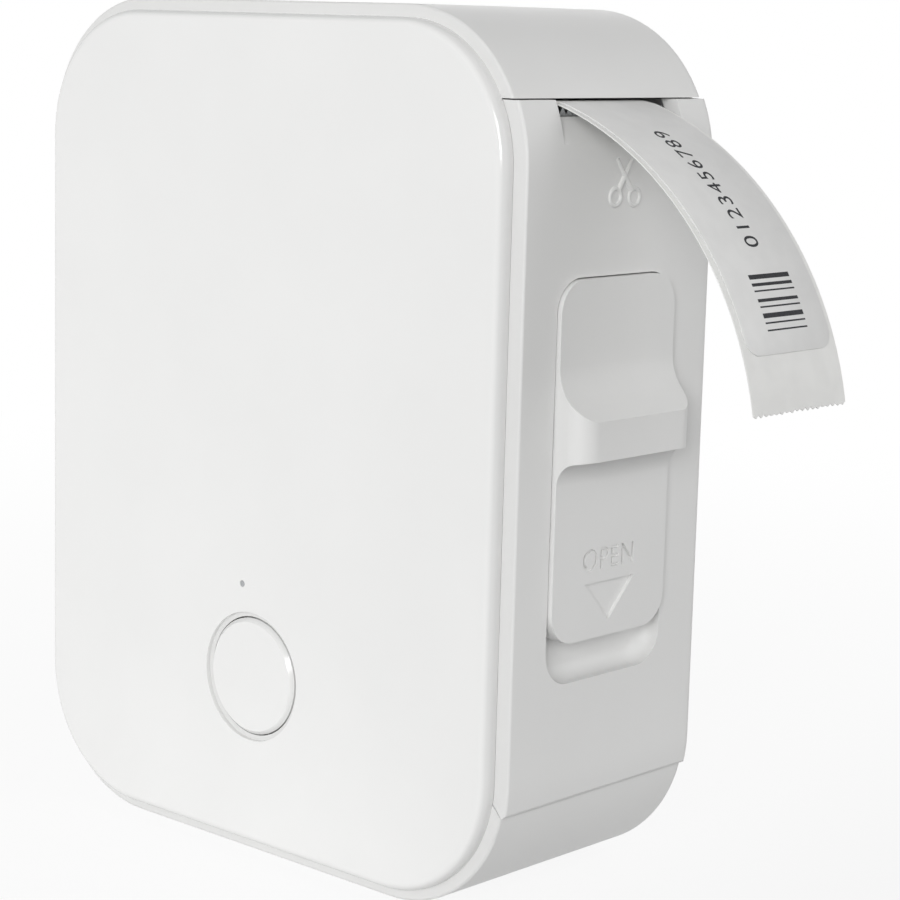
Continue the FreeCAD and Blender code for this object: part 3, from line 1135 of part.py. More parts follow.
def fasteners():
    """Case screws from the back, board screws from the front and the motor's two screws."""
    case, board, motor = [], [], []
    for i, place in enumerate(BOSSES):
        head = rod("case_head_%d" % i, "y", "screw_head_radius",
                   ("BACK_Y - screw_head_height", "BACK_Y - fit_gap"), place)
        slot = box("case_slot_%d" % i, ("%s - drive_half" % place[0], "%s + drive_half" % place[0]),
                   ("BACK_Y - screw_head_height/2", "BACK_Y"),
                   ("%s - drive_width/2" % place[1], "%s + drive_width/2" % place[1]))
        cross = box("case_cross_%d" % i, ("%s - drive_width/2" % place[0], "%s + drive_width/2" % place[0]),
                    ("BACK_Y - screw_head_height/2", "BACK_Y"),
                    ("%s - drive_half" % place[1], "%s + drive_half" % place[1]))
        shank = rod("case_shank_%d" % i, "y", "screw_radius",
                    ("PLATE_REAR_LOW", "BACK_Y - screw_head_height"), place)
        case.append(fuse("case_screw_%d" % i, [cut("case_drive_%d" % i, head, [slot, cross]), shank]))
    node(fuse("case_screw_set", case), "case_screws")
    for i, place in enumerate(STANDOFFS):
        board.append(rod("board_head_%d" % i, "y", "small_head_radius",
                         ("BOARD_FRONT - small_head_height", "BOARD_FRONT"), place))
        board.append(rod("board_shank_%d" % i, "y", "small_screw_radius",
                         ("BOARD_FRONT", "PLATE_FRONT_HIGH"), place))
    node(fuse("board_screw_set", board), "board_screws")
    for i, side in enumerate("-+"):
        place = ("MOTOR_X %s motor_ear_reach" % side, "MOTOR_Z")
        low = "(PLATE_REAR_LOW - motor_flange)"
        motor.append(rod("motor_head_%d" % i, "y", "small_head_radius",
                         ("%s - small_head_height" % low, low), place))
        motor.append(rod("motor_shank_%d" % i, "y", "small_screw_radius", (low, "PLATE_REAR_HIGH"), place))
    node(fuse("motor_screw_set", motor), "motor_screws")


def main():
    for build in (rear_housing, front_panel, power_button, lid_shell, lid_frame, tear_bar, latch,
                  label_stock, inner_frame, drive, print_head, electronics, fasteners):
        build()
    doc.recompute()
    for item in doc.Objects:
        if "Invalid" in item.State or "Error" in item.State:
            raise RuntimeError("%s did not build: %s" % (item.Name, item.State))
    os.makedirs("parts", exist_ok=True)
    for piece in NODES:
        shape = piece.Shape
        if shape.isNull() or not shape.isValid() or not shape.Solids:
            raise RuntimeError("%s has no valid solid" % piece.Label)
        shape.exportStep("parts/%s.step" % piece.Label)
        print("%-18s %d solid(s) %10.2f mm3" % (piece.Label, len(shape.Solids), shape.Volume))


main()
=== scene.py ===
"""Dresses a pocket thermal label printer: finishes, printed strip, marks, springs and stage."""

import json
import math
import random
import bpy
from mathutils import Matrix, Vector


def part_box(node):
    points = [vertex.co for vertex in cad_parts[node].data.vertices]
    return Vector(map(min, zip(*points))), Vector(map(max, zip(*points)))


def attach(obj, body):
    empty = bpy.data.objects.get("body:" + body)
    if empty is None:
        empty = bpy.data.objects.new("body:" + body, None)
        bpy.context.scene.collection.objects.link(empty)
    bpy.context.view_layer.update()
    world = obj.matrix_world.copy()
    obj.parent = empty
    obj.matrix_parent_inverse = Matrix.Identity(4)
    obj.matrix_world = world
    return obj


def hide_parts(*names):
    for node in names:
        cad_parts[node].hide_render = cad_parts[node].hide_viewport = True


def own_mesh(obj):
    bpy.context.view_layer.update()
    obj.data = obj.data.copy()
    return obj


bl_info = {
    "name": "Thermal label printer",
    "version": (1, 0, 0),
    "blender": (4, 5, 0),
    "location": "View3D > Sidebar > Label Printer",
    "description": "Dresses the label printer's frame with finishes, paper, marks and springs",
    "category": "Object",
}

import bpy

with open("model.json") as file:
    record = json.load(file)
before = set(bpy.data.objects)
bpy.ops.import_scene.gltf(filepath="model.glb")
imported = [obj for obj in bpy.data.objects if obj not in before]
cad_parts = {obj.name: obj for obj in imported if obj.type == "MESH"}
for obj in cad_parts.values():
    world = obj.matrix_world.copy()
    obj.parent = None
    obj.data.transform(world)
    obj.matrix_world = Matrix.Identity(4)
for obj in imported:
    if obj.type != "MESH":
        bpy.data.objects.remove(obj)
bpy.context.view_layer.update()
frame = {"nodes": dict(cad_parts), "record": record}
MM = 0.001

# Outer faces of the lid and of the latch slide, along X
LID_FACE = 36.0 * MM
LATCH_FACE = 36.5 * MM


# Selection and finishing

def only(piece):
    """Selects one object and nothing else."""
    bpy.ops.object.select_all(action="DESELECT")
    piece.select_set(True)
    bpy.context.view_layer.objects.active = piece


def start_fresh():
    """Deselects everything, so that a new primitive is alone."""
    bpy.ops.object.select_all(action="DESELECT")


def edit_all(piece):
    """Opens a mesh in edit mode with all of it selected."""
    only(piece)
    bpy.ops.object.mode_set(mode="EDIT")
    bpy.ops.mesh.select_all(action="SELECT")


def leave_edit():
    """Goes back to object mode."""
    bpy.ops.object.mode_set(mode="OBJECT")


def apply_modifier(piece, kind, **settings):
    """Adds a modifier with its settings and applies it."""
    only(piece)
    bpy.ops.object.modifier_add(type=kind)
    modifier = piece.modifiers[-1]
    for name, setting in settings.items():
        setattr(modifier, name, setting)
    bpy.ops.object.modifier_apply(modifier=modifier.name)


def apply_place(piece):
    """Moves an object's place, turn and scale into its mesh."""
    only(piece)
    bpy.ops.object.transform_apply(location=True, rotation=True, scale=True)


def join(pieces):
    """Joins objects into the first one."""
    for piece in pieces:
        apply_place(piece)
    only(pieces[0])
    for piece in pieces[1:]:
        piece.select_set(True)
    bpy.ops.object.join()
    return pieces[0]


def face_outwards(piece):
    """Merges doubled points and turns all faces outwards."""
    edit_all(piece)
    bpy.ops.mesh.remove_doubles(threshold=0.001 * MM)
    bpy.ops.mesh.normals_make_consistent(inside=False)
    leave_edit()


def merge_flats(piece):
    """Joins the triangles of each flat face, so that its light stays even."""
    edit_all(piece)
    bpy.ops.mesh.dissolve_limited(angle_limit=math.radians(0.4))
    leave_edit()


def choose(piece, test):
    """Selects the points of a mesh that pass a test, in edit mode."""
    only(piece)
    bpy.ops.object.mode_set(mode="EDIT")
    bpy.ops.mesh.select_mode(type="VERT")
    bpy.ops.mesh.select_all(action="DESELECT")
    leave_edit()
    for point in piece.data.vertices:
        point.select = test(point.co)
    bpy.ops.object.mode_set(mode="EDIT")


def slice_along_x(piece, step):
    """Cuts a mesh across X every step, so that it can bend."""
    xs = [point.co.x for point in piece.data.vertices]
    low, high = min(xs), max(xs)
    only(piece)
    bpy.ops.object.mode_set(mode="EDIT")
    for i in range(1, int((high - low) / step) + 1):
        bpy.ops.mesh.select_all(action="SELECT")
        bpy.ops.mesh.bisect(plane_co=(low + i * step, 0, 0), plane_no=(1, 0, 0))
    leave_edit()


def soften(piece, degrees):
    """Shades a mesh smooth, apart from edges sharper than an angle."""
    only(piece)
    bpy.ops.object.shade_smooth_by_angle(angle=math.radians(degrees))


def lettering(body, **settings):
    """Plain centred characters as a mesh, lying flat at the origin."""
    start_fresh()
    bpy.ops.object.text_add(location=(0, 0, 0))
    text = bpy.context.object.data
    text.body = body
    text.align_x = "CENTER"
    text.align_y = "CENTER"
    for name, setting in settings.items():
        setattr(text, name, setting)
    bpy.ops.object.convert(target="MESH")
    return bpy.context.object


def finish_piece(piece, name, body, material):
    """Names a piece, places it, gives it its finish and lets it ride on a body."""
    apply_place(piece)
    piece.name = name
    piece.data.name = name
    piece.data.materials.clear()
    piece.data.materials.append(material)
    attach(piece, body)


# Materials

MOULD_PATCH = 18 * MM
PAPER_PATCH = 2.5 * MM


def linear(code):
    """An sRGB hex colour as the linear value that a shader takes."""
    parts = [int(code[i:i + 2], 16) / 255 for i in (0, 2, 4)]
    return tuple(c / 12.92 if c <= 0.04045 else ((c + 0.055) / 1.055) ** 2.4
                 for c in parts) + (1.0,)


def add_node(owner, kind, settings=None, inputs=None):
    """Adds a node to a material or world, with its settings, and its inputs as values or links."""
    node = owner.node_tree.nodes.new(kind)
    for name, setting in (settings or {}).items():
        setattr(node, name, setting)
    for socket, source in (inputs or {}).items():
        if isinstance(source, bpy.types.NodeSocket):
            owner.node_tree.links.new(source, node.inputs[socket])
        else:
            node.inputs[socket].default_value = source
    return node


def start_material(name, values):
    """A material with its shader's constant values set, and the object's own coordinates."""
    material = bpy.data.materials.new(name)
    material.use_nodes = True
    shader = material.node_tree.nodes["Principled BSDF"]
    for socket, setting in values.items():
        shader.inputs[socket].default_value = setting
    place = add_node(material, "ShaderNodeTexCoord").outputs["Object"]
    return material, shader, place


def feed(material, source, shader, socket):
    """Links an output to one of the shader's inputs."""
    material.node_tree.links.new(source, shader.inputs[socket])


def tone(material, shader, place, size, colours):
    """Drifts the base colour between two tones over patches of a size, and returns its output."""
    patches = add_node(material, "ShaderNodeTexNoise", {},
                       {"Vector": place, "Scale": 1 / size, "Detail": 2.0})
    ramp = add_node(material, "ShaderNodeValToRGB", {}, {"Fac": patches.outputs["Fac"]})
    for element, position, colour in zip(ramp.color_ramp.elements, (0.35, 0.65), colours):
        element.position = position
        element.color = linear(colour)
    feed(material, ramp.outputs["Color"], shader, "Base Color")
    return ramp.outputs["Color"]


def raise_pattern(material, shader, pattern, height):
    """Raises a pattern on the surface."""
    bump = add_node(material, "ShaderNodeBump", {}, {"Height": pattern, "Distance": height})
    feed(material, bump.outputs["Normal"], shader, "Normal")


def grit(material, shader, place, size, height, detail=3.0):
    """Raises a fine even grain on the surface."""
    grain = add_node(material, "ShaderNodeTexNoise", {},
                     {"Vector": place, "Scale": 1 / size, "Detail": detail})
    raise_pattern(material, shader, grain.outputs["Fac"], height)
    return grain


def sheen_drift(material, shader, grain, low, high):
    """Lets the gloss vary a little with the grain."""
    span = add_node(material, "ShaderNodeMapRange", {},
                    {"Value": grain.outputs["Fac"], "To Min": low, "To Max": high})
    feed(material, span.outputs["Result"], shader, "Roughness")


def moulded_plastic(name, colours, roughness, grain_size, grain_height, ior=1.52):
    """Injection-moulded plastic with a spark-eroded grain."""
    material, shader, place = start_material(name, {"IOR": ior})
    tone(material, shader, place, MOULD_PATCH, colours)
    grain = grit(material, shader, place, grain_size, grain_height)
    sheen_drift(material, shader, grain, roughness - 0.05, roughness + 0.05)
    return material


def gloss_panel(face_tone):
    # High-gloss ABS: a flat mirror-smooth face. Its rolled edge and button groove, which sink
    # behind the face, are painted a little greyer as painted shade.
    material, shader, place = start_material("high-gloss ABS", {"IOR": 1.52})
    plain = tone(material, shader, place, MOULD_PATCH, (face_tone, "F8F8F7"))
    depth = add_node(material, "ShaderNodeSeparateXYZ", {}, {"Vector": place})
    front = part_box("front_panel")[0].y
    # Painted shade: whatever lies 0.03 to 0.3 mm or more behind the face is mixed towards a greyer
    # tone
    painted_shade_share = add_node(material, "ShaderNodeMapRange", {},
                    {"Value": depth.outputs["Y"],
                     "From Min": front + 0.03 * MM, "From Max": front + 0.3 * MM})
    shaded = add_node(material, "ShaderNodeMix", {"data_type": "RGBA"},
                      {0: painted_shade_share.outputs["Result"], 6: plain, 7: linear("EAEAE9")})
    feed(material, shaded.outputs[2], shader, "Base Color")
    grain = grit(material, shader, place, 4.0 * MM, 0.001 * MM)
    sheen_drift(material, shader, grain, 0.1, 0.18)
    return material


def cut_metal(name, colour, roughness, line_size, across):
    """Bare metal with fine tool lines across one direction."""
    material, shader, place = start_material(
        name, {"Base Color": linear(colour), "Metallic": 1.0})
    stretch = add_node(material, "ShaderNodeMapping", {}, {"Vector": place, "Scale": across})
    grain = grit(material, shader, stretch.outputs["Vector"], line_size, 0.004 * MM)
    sheen_drift(material, shader, grain, roughness - 0.08, roughness + 0.08)
    return material


def paper_stock(name, colours, roughness, fibre_size, fibre_height):
    """Coated paper with the faint mottling of its fibres."""
    material, shader, place = start_material(name, {"IOR": 1.45})
    tone(material, shader, place, PAPER_PATCH, colours)
    grain = grit(material, shader, place, fibre_size, fibre_height, 5.0)
    sheen_drift(material, shader, grain, roughness - 0.06, roughness + 0.06)
    return material


def wound_paper():
    # Label stock wound on its core: the sides show the edges of its turns as fine rings.
    material, shader, place = start_material(
        "wound label stock", {"IOR": 1.45, "Roughness": 0.7})
    low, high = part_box("label_roll")
    middle = (low + high) / 2
    centred = add_node(material, "ShaderNodeMapping", {},
                       {"Vector": place, "Location": (-middle.x, 0, -middle.z)})
    flat = add_node(material, "ShaderNodeVectorMath", {"operation": "MULTIPLY"},
                    {0: centred.outputs["Vector"], 1: (1.0, 0.0, 1.0)})
    radius = add_node(material, "ShaderNodeVectorMath", {"operation": "LENGTH"},
                      {0: flat.outputs["Vector"]})
    # The turns are 0.25 mm apart; drawn every 0.5 mm so that they show.
    turns = add_node(material, "ShaderNodeMath", {"operation": "MULTIPLY"},
                     {0: radius.outputs["Value"], 1: 2 * math.pi / (0.5 * MM)})
    wave = add_node(material, "ShaderNodeMath", {"operation": "SINE"},
                    {0: turns.outputs["Value"]}).outputs["Value"]
    share = add_node(material, "ShaderNodeMapRange", {}, {"Value": wave, "From Min": -1.0})
    ramp = add_node(material, "ShaderNodeValToRGB", {}, {"Fac": share.outputs["Result"]})
    ramp.color_ramp.elements[0].color = linear("C9C8C2")
    ramp.color_ramp.elements[1].color = linear("F1F1EE")
    feed(material, ramp.outputs["Color"], shader, "Base Color")
    raise_pattern(material, shader, wave, 0.02 * MM)
    return material


def circuit_board():
    # FR-4 under green solder mask: copper tracks show as slightly paler raised lines.
    material, shader, place = start_material(
        "solder-masked board", {"IOR": 1.5, "Roughness": 0.3})
    upright = add_node(material, "ShaderNodeMapping", {},
                       {"Vector": place, "Rotation": (math.pi / 2, 0, 0)})
    tracks = add_node(material, "ShaderNodeTexBrick", {"offset": 0.37},
                      {"Vector": upright.outputs["Vector"], "Scale": 1 / (6 * MM),
                       "Mortar Size": 0.03, "Mortar Smooth": 0.1,
                       "Color1": linear("0F5A33"), "Color2": linear("11603A"),
                       "Mortar": linear("2C7F52")})
    feed(material, tracks.outputs["Color"], shader, "Base Color")
    raise_pattern(material, shader, tracks.outputs["Fac"], 0.03 * MM)
    return material


def clear_plastic():
    # Polycarbonate light pipe: a small clear dot, slightly grey where no light shines behind it.
    material, shader, place = start_material(
        "clear polycarbonate", {"IOR": 1.58, "Roughness": 0.15, "Transmission Weight": 0.1})
    tone(material, shader, place, 0.5 * MM, ("B4B7BA", "C2C4C6"))
    return material


def printed_ink():
    # Thermal print: heat turns the coating dark grey, a little uneven from dot to dot.
    material, shader, place = start_material("thermal print", {"IOR": 1.45, "Roughness": 0.6})
    tone(material, shader, place, 0.12 * MM, ("1E1F22", "34363A"))
    return material


def all_finishes():
    """Every finish by the record's slot name, and the liner's besides."""
    look = bpy.context.scene.label_printer
    return {
        "panel_gloss": gloss_panel(look.face_tone),
        # Satin ABS: the shell has a fine grain that breaks up every highlight.
        "case_white": moulded_plastic(
            "satin moulded ABS", (look.case_tone, "ECECEB"), 0.46, 0.35 * MM, 0.006 * MM),
        # Natural ABS: inner mouldings are duller and a little creamier than the shell.
        "inner_white": moulded_plastic(
            "natural ABS", ("DEDDD7", "E4E3DE"), 0.55, 0.5 * MM, 0.010 * MM),
        # Acetal: the gears are waxy white with a soft sheen.
        "gear_plastic": moulded_plastic(
            "acetal", ("EEEDE6", "F3F2EC"), 0.38, 0.3 * MM, 0.004 * MM, 1.48),
        # Ground steel: pins and screws have fine turning lines round them.
        "steel": cut_metal("ground steel", "B9BBBD", 0.28, 0.25 * MM, (1.0, 6.0, 1.0)),
        # Sintered bronze: warm and dull, with an open grain.
        "brass_bush": cut_metal("sintered bronze", "B08A50", 0.42, 0.15 * MM, (1.0, 1.0, 1.0)),
        # Silicone rubber: matt dark grey, so that the paper is gripped.
        "platen_rubber": moulded_plastic(
            "silicone rubber", ("2B2C2E", "333436"), 0.72, 0.2 * MM, 0.012 * MM, 1.42),
        # Glassine liner: denser and shinier than the label, so its bare edges catch the light.
        "liner": paper_stock(
            "glassine liner", ("EEEEEC", "F2F2F0"), 0.36, 0.2 * MM, 0.003 * MM),
        # Thermal label paper: smooth, slightly grey coated white.
        "label_paper": paper_stock(
            "thermal label paper", ("E6E6E5", "EAEAE9"), 0.5, 0.12 * MM, 0.004 * MM),
        # Grey board: the core is wound from unbleached pulp with visible flecks.
        "core_card": paper_stock(
            "wound grey board", ("9A9183", "B2A998"), 0.85, 0.4 * MM, 0.03 * MM),
        "board_green": circuit_board(),
        # Glass-filled PBT: switch, socket tongue and sensor bodies are near black and matt.
        "dark_part": moulded_plastic(
            "black PBT", ("1B1C1D", "242526"), 0.5, 0.3 * MM, 0.006 * MM),
        # Nylon: the switch's plunger is plain mid grey.
        "plunger_grey": moulded_plastic(
            "grey nylon", ("77797B", "818385"), 0.5, 0.3 * MM, 0.006 * MM),
        # Aluminium laminate: the battery's pouch is silvery with soft creases.
        "cell_foil": cut_metal("pouch laminate", "C4C6C8", 0.36, 2.5 * MM, (1.0, 1.0, 0.3)),
        # Milled aluminium: the heat sink shows straight cutter lines.
        "sink_aluminium": cut_metal(
            "milled aluminium", "C9CBCD", 0.32, 0.4 * MM, (8.0, 1.0, 1.0)),
        # Glazed alumina: the print head's plate is smooth and ivory.
        "head_ceramic": moulded_plastic(
            "glazed alumina", ("D9D2C3", "E0D9CC"), 0.2, 0.6 * MM, 0.002 * MM, 1.7),
        "light_clear": clear_plastic(),
    }


TABLE = {}


def finish_table():
    """The finishes, made once."""
    if not TABLE:
        TABLE.update(all_finishes())
    return TABLE


# Sizes and colours that a user may change

class LabelPrinterSettings(bpy.types.PropertyGroup):
    """Sizes and colours of the dressed printer."""

    face_tone: bpy.props.StringProperty(
        name="Face tone", description="sRGB hex colour of the glossy face", default="F6F6F5")
    case_tone: bpy.props.StringProperty(
        name="Case tone", description="sRGB hex colour of the satin shell", default="EAEAE9")
    liner_thick: bpy.props.FloatProperty(
        name="Liner thickness", description="Backing paper that carries the labels",
        default=0.12 * MM, unit="LENGTH")
    label_thick: bpy.props.FloatProperty(
        name="Label thickness", description="Label that stands on the backing paper",
        default=0.13 * MM, unit="LENGTH")
    label_inset: bpy.props.FloatProperty(
        name="Label inset", description="Bare liner along each edge of a label",
        default=0.7 * MM, unit="LENGTH")
    label_tail: bpy.props.FloatProperty(
        name="Liner tail", description="Bare liner between the label's end and the torn edge",
        default=5.7 * MM, unit="LENGTH")
    label_corner: bpy.props.FloatProperty(
        name="Label corner", description="Radius of a label's corners",
        default=1.8 * MM, unit="LENGTH")
    torn_teeth: bpy.props.IntProperty(
        name="Torn teeth", description="Teeth that the blade leaves on the torn edge", default=18)
    torn_depth: bpy.props.FloatProperty(
        name="Torn depth", description="Depth of the teeth on the torn edge",
        default=0.4 * MM, unit="LENGTH")
    digit_height: bpy.props.FloatProperty(
        name="Digit height", description="Height of the printed digits",
        default=2.0 * MM, unit="LENGTH")
    mark_depth: bpy.props.FloatProperty(
        name="Mark depth",
        description="Depth of the arrow in the latch; the letters are a little shallower",
        default=0.36 * MM, unit="LENGTH")
    scissor_height: bpy.props.FloatProperty(
        name="Scissors relief", description="Height of the raised scissors mark",
        default=0.2 * MM, unit="LENGTH")
    spring_wire: bpy.props.FloatProperty(
        name="Spring wire", description="Diameter of the springs' wire",
        default=0.3 * MM, unit="LENGTH")
    camera_lens: bpy.props.FloatProperty(
        name="Lens", description="Focal length of the studio camera in millimetres",
        default=100.5)
    key_power: bpy.props.FloatProperty(
        name="Key light", description="Power of the large lamp in front",
        default=4.45, unit="POWER")


# Finishes of the frame

class LABELPRINTER_OT_finishes(bpy.types.Operator):
    """Give every piece of the frame its finish"""
    bl_idname = "label_printer.finishes"
    bl_label = "Frame finishes"

    def execute(self, context):
        finishes = finish_table()
        for part in frame["record"]["subparts"]:
            piece = frame["nodes"][part["node"]]
            piece.data.materials.clear()
            piece.data.materials.append(finishes[part["material_slot"]])
        roll = frame["nodes"]["label_roll"]
        roll.data.materials.clear()
        roll.data.materials.append(wound_paper())
        return {"FINISHED"}


# The printed strip

# Its path in X and Z: the curl's centre, radius and angles in degrees, and the bend before it
CURL = (24.42 * MM, 48.66 * MM)
CURL_RADIUS = 35.56 * MM
CURL_ANGLES = (72.5, 10.2)
EXIT_BEND = 6.0 * MM
BEND_STEPS = 24
CURL_STEPS = 160
HALF_TAPE = 0.125 * MM
# Points this close to the strip's end belong to it
END_REACH = 0.01 * MM
LINER_STEPS = 150
LABEL_STEP = 0.4 * MM
LABEL_EDGE = 0.04 * MM
# The print: thickness of the ink, shift across the strip, and places along it
INK = 0.012 * MM
PRINT_SHIFT = 0.3 * MM
DIGITS_AT = 24.9 * MM
DIGIT_STEP = 0.5 * MM
DIGIT_SHARE = 0.7
BARS_AT = 35.8 * MM
BAR_UNIT = 0.16 * MM
BAR_SPACE = 0.12 * MM
BAR_LENGTH = 6.4 * MM
# Widths in units, of bars and gaps in turn
BAR_WIDTHS = (3, 1, 2, 1, 1, 3, 2, 1, 1, 2, 3, 1, 1, 2, 1, 3)


def strip_line():
    """Points along the strip's middle line: level, a short bend and the long curl."""
    leave, last = (math.radians(angle) for angle in CURL_ANGLES)
    offset = CURL_RADIUS - EXIT_BEND
    bend = (CURL[0] + offset * math.cos(leave), CURL[1] + offset * math.sin(leave))
    points = [(CURL[0], bend[1] + EXIT_BEND)]
    for centre, radius, first, end, count in (
            (bend, EXIT_BEND, math.pi / 2, leave, BEND_STEPS),
            (CURL, CURL_RADIUS, leave, last, CURL_STEPS)):
        for i in range(count + 1):
            angle = first + (end - first) * i / count
            points.append((centre[0] + radius * math.cos(angle),
                           centre[1] + radius * math.sin(angle)))
    return [p for i, p in enumerate(points) if i == 0 or math.dist(p, points[i - 1]) > 1e-9]


def strip_path():
    """The strip's middle line as a curve for bending flat pieces, and its length."""
    low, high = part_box("label_strip")
    middle = (low.y + high.y) / 2
    line = strip_line()
    curve = bpy.data.curves.new("strip_path", "CURVE")
    curve.dimensions = "3D"
    curve.twist_mode = "Z_UP"
    spline = curve.splines.new("POLY")
    spline.points.add(len(line) - 1)
    for point, (x, z) in zip(spline.points, line):
        point.co = (x, middle, z, 1.0)
    path = bpy.data.objects.new("strip_path", curve)
    bpy.context.scene.collection.objects.link(path)
    return path, sum(math.dist(a, b) for a, b in zip(line, line[1:]))


def bend_on(path, piece):
    """Bends a flat piece along the strip's path."""
    apply_place(piece)
    apply_modifier(piece, "CURVE", object=path, deform_axis="POS_X")


class LABELPRINTER_OT_strip(bpy.types.Operator):
    """Model the printed strip: liner with a torn end, raised label and its print"""
    bl_idname = "label_printer.strip"
    bl_label = "Printed strip"

    def liner(self, sizes, path, length, width):
        """A fine grid whose last row is torn to teeth, given its thickness and bent."""
        start_fresh()
        bpy.ops.mesh.primitive_grid_add(
            x_subdivisions=LINER_STEPS, y_subdivisions=2 * sizes.torn_teeth, size=1.0,
            location=(length / 2, 0, -HALF_TAPE))
        liner = bpy.context.object
        liner.scale = (length, width, 1.0)
        apply_place(liner)
        chance = random.Random(7)
        step = width / (2 * sizes.torn_teeth)
        for i in range(2 * sizes.torn_teeth + 1):
            across = -width / 2 + i * step
            torn = chance.uniform(0.5, 1.0) if i % 2 == 0 else chance.uniform(0.0, 0.3)
            choose(liner, lambda co: co.x > length - END_REACH and abs(co.y - across) < step / 4)
            bpy.ops.transform.translate(value=(-sizes.torn_depth * torn, 0, 0))
            leave_edit()
        apply_modifier(liner, "SOLIDIFY", thickness=sizes.liner_thick, offset=1.0)
        bend_on(path, liner)
        return liner

    def label(self, sizes, path, end, width, seat):
        """A plate with two round corners, cut across so that it bends, with softened edges."""
        start_fresh()
        bpy.ops.mesh.primitive_plane_add(size=1.0, location=(end / 2, 0, seat))
        label = bpy.context.object
        label.scale = (end, width - 2 * sizes.label_inset, 1.0)
        apply_place(label)
        choose(label, lambda co: co.x > end - END_REACH)
        bpy.ops.mesh.bevel(offset=sizes.label_corner, offset_type="OFFSET", segments=8,
                           affect="VERTICES")
        leave_edit()
        slice_along_x(label, LABEL_STEP)
        apply_modifier(label, "SOLIDIFY", thickness=sizes.label_thick, offset=1.0)
        apply_modifier(label, "BEVEL", width=LABEL_EDGE, segments=2, limit_method="ANGLE",
                       angle_limit=math.radians(60))
        bend_on(path, label)
        soften(label, 30)
        return label

    def printing(self, sizes, path, top):
        """Plain digits along the label and a block of bars near its end."""
        digits = lettering("0123456789", space_character=1.15,
                           size=sizes.digit_height / DIGIT_SHARE, extrude=INK / 2)
        digits.rotation_euler = (0, 0, math.pi)
        digits.location = (DIGITS_AT, PRINT_SHIFT, top + INK / 2)
        apply_place(digits)
        slice_along_x(digits, DIGIT_STEP)
        bars = []
        at = BARS_AT
        for i, units in enumerate(BAR_WIDTHS):
            wide = units * BAR_UNIT
            if i % 2 == 0:
                start_fresh()
                bpy.ops.mesh.primitive_cube_add(
                    size=1.0, location=(at + wide / 2, PRINT_SHIFT, top + INK / 2))
                bars.append(bpy.context.object)
                bars[-1].scale = (wide, BAR_LENGTH, INK)
            at += wide + BAR_SPACE
        printed = join([digits] + bars)
        bend_on(path, printed)
        return printed

    def execute(self, context):
        sizes = context.scene.label_printer
        finishes = finish_table()
        path, length = strip_path()
        low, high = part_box("label_strip")
        width = high.y - low.y
        seat = sizes.liner_thick - HALF_TAPE

        liner = self.liner(sizes, path, length, width)
        finish_piece(liner, "strip_liner", "side_lid", finishes["liner"])
        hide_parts("label_strip")

        label = self.label(sizes, path, length - sizes.label_tail, width, seat)
        finish_piece(label, "strip_label", "side_lid", finishes["label_paper"])

        printed = self.printing(sizes, path, seat + sizes.label_thick)
        finish_piece(printed, "strip_print", "side_lid", printed_ink())
        bpy.data.objects.remove(path)
        return {"FINISHED"}


# Engraved and raised marks

# Letters on the latch: size, shift from the slide's middle, height, and share of the mark's depth
WORD_SIZE = (8.1 * MM, 2.25 * MM)
WORD_SHIFT = -0.25 * MM
WORD_HEIGHT = 37.0 * MM
WORD_DEPTH = 1.6
# Arrow below them: size, height of its upper edge, and how far its tool stands out of the face
ARROW_SIZE = (7.94 * MM, 4.15 * MM)
ARROW_TOP = 34.7 * MM
ARROW_PROUD = 0.002 * MM
# Scissors, in millimetres: centre of each ring and tip of its blade, in Y and Z
SCISSORS = (((-1.6, 73.6), (0.9, 77.3)), ((1.4, 73.55), (-1.5, 77.4)))
RING_RADIUS = 0.85
BLADE_SHIFT = 0.42 * MM
SCISSOR_LINE = 0.24 * MM


def stand_on_face(piece):
    """Turns a flat mark upright, to read on a face that looks along X."""
    apply_place(piece)
    piece.rotation_euler = (math.pi / 2, 0, math.pi / 2)
    apply_place(piece)


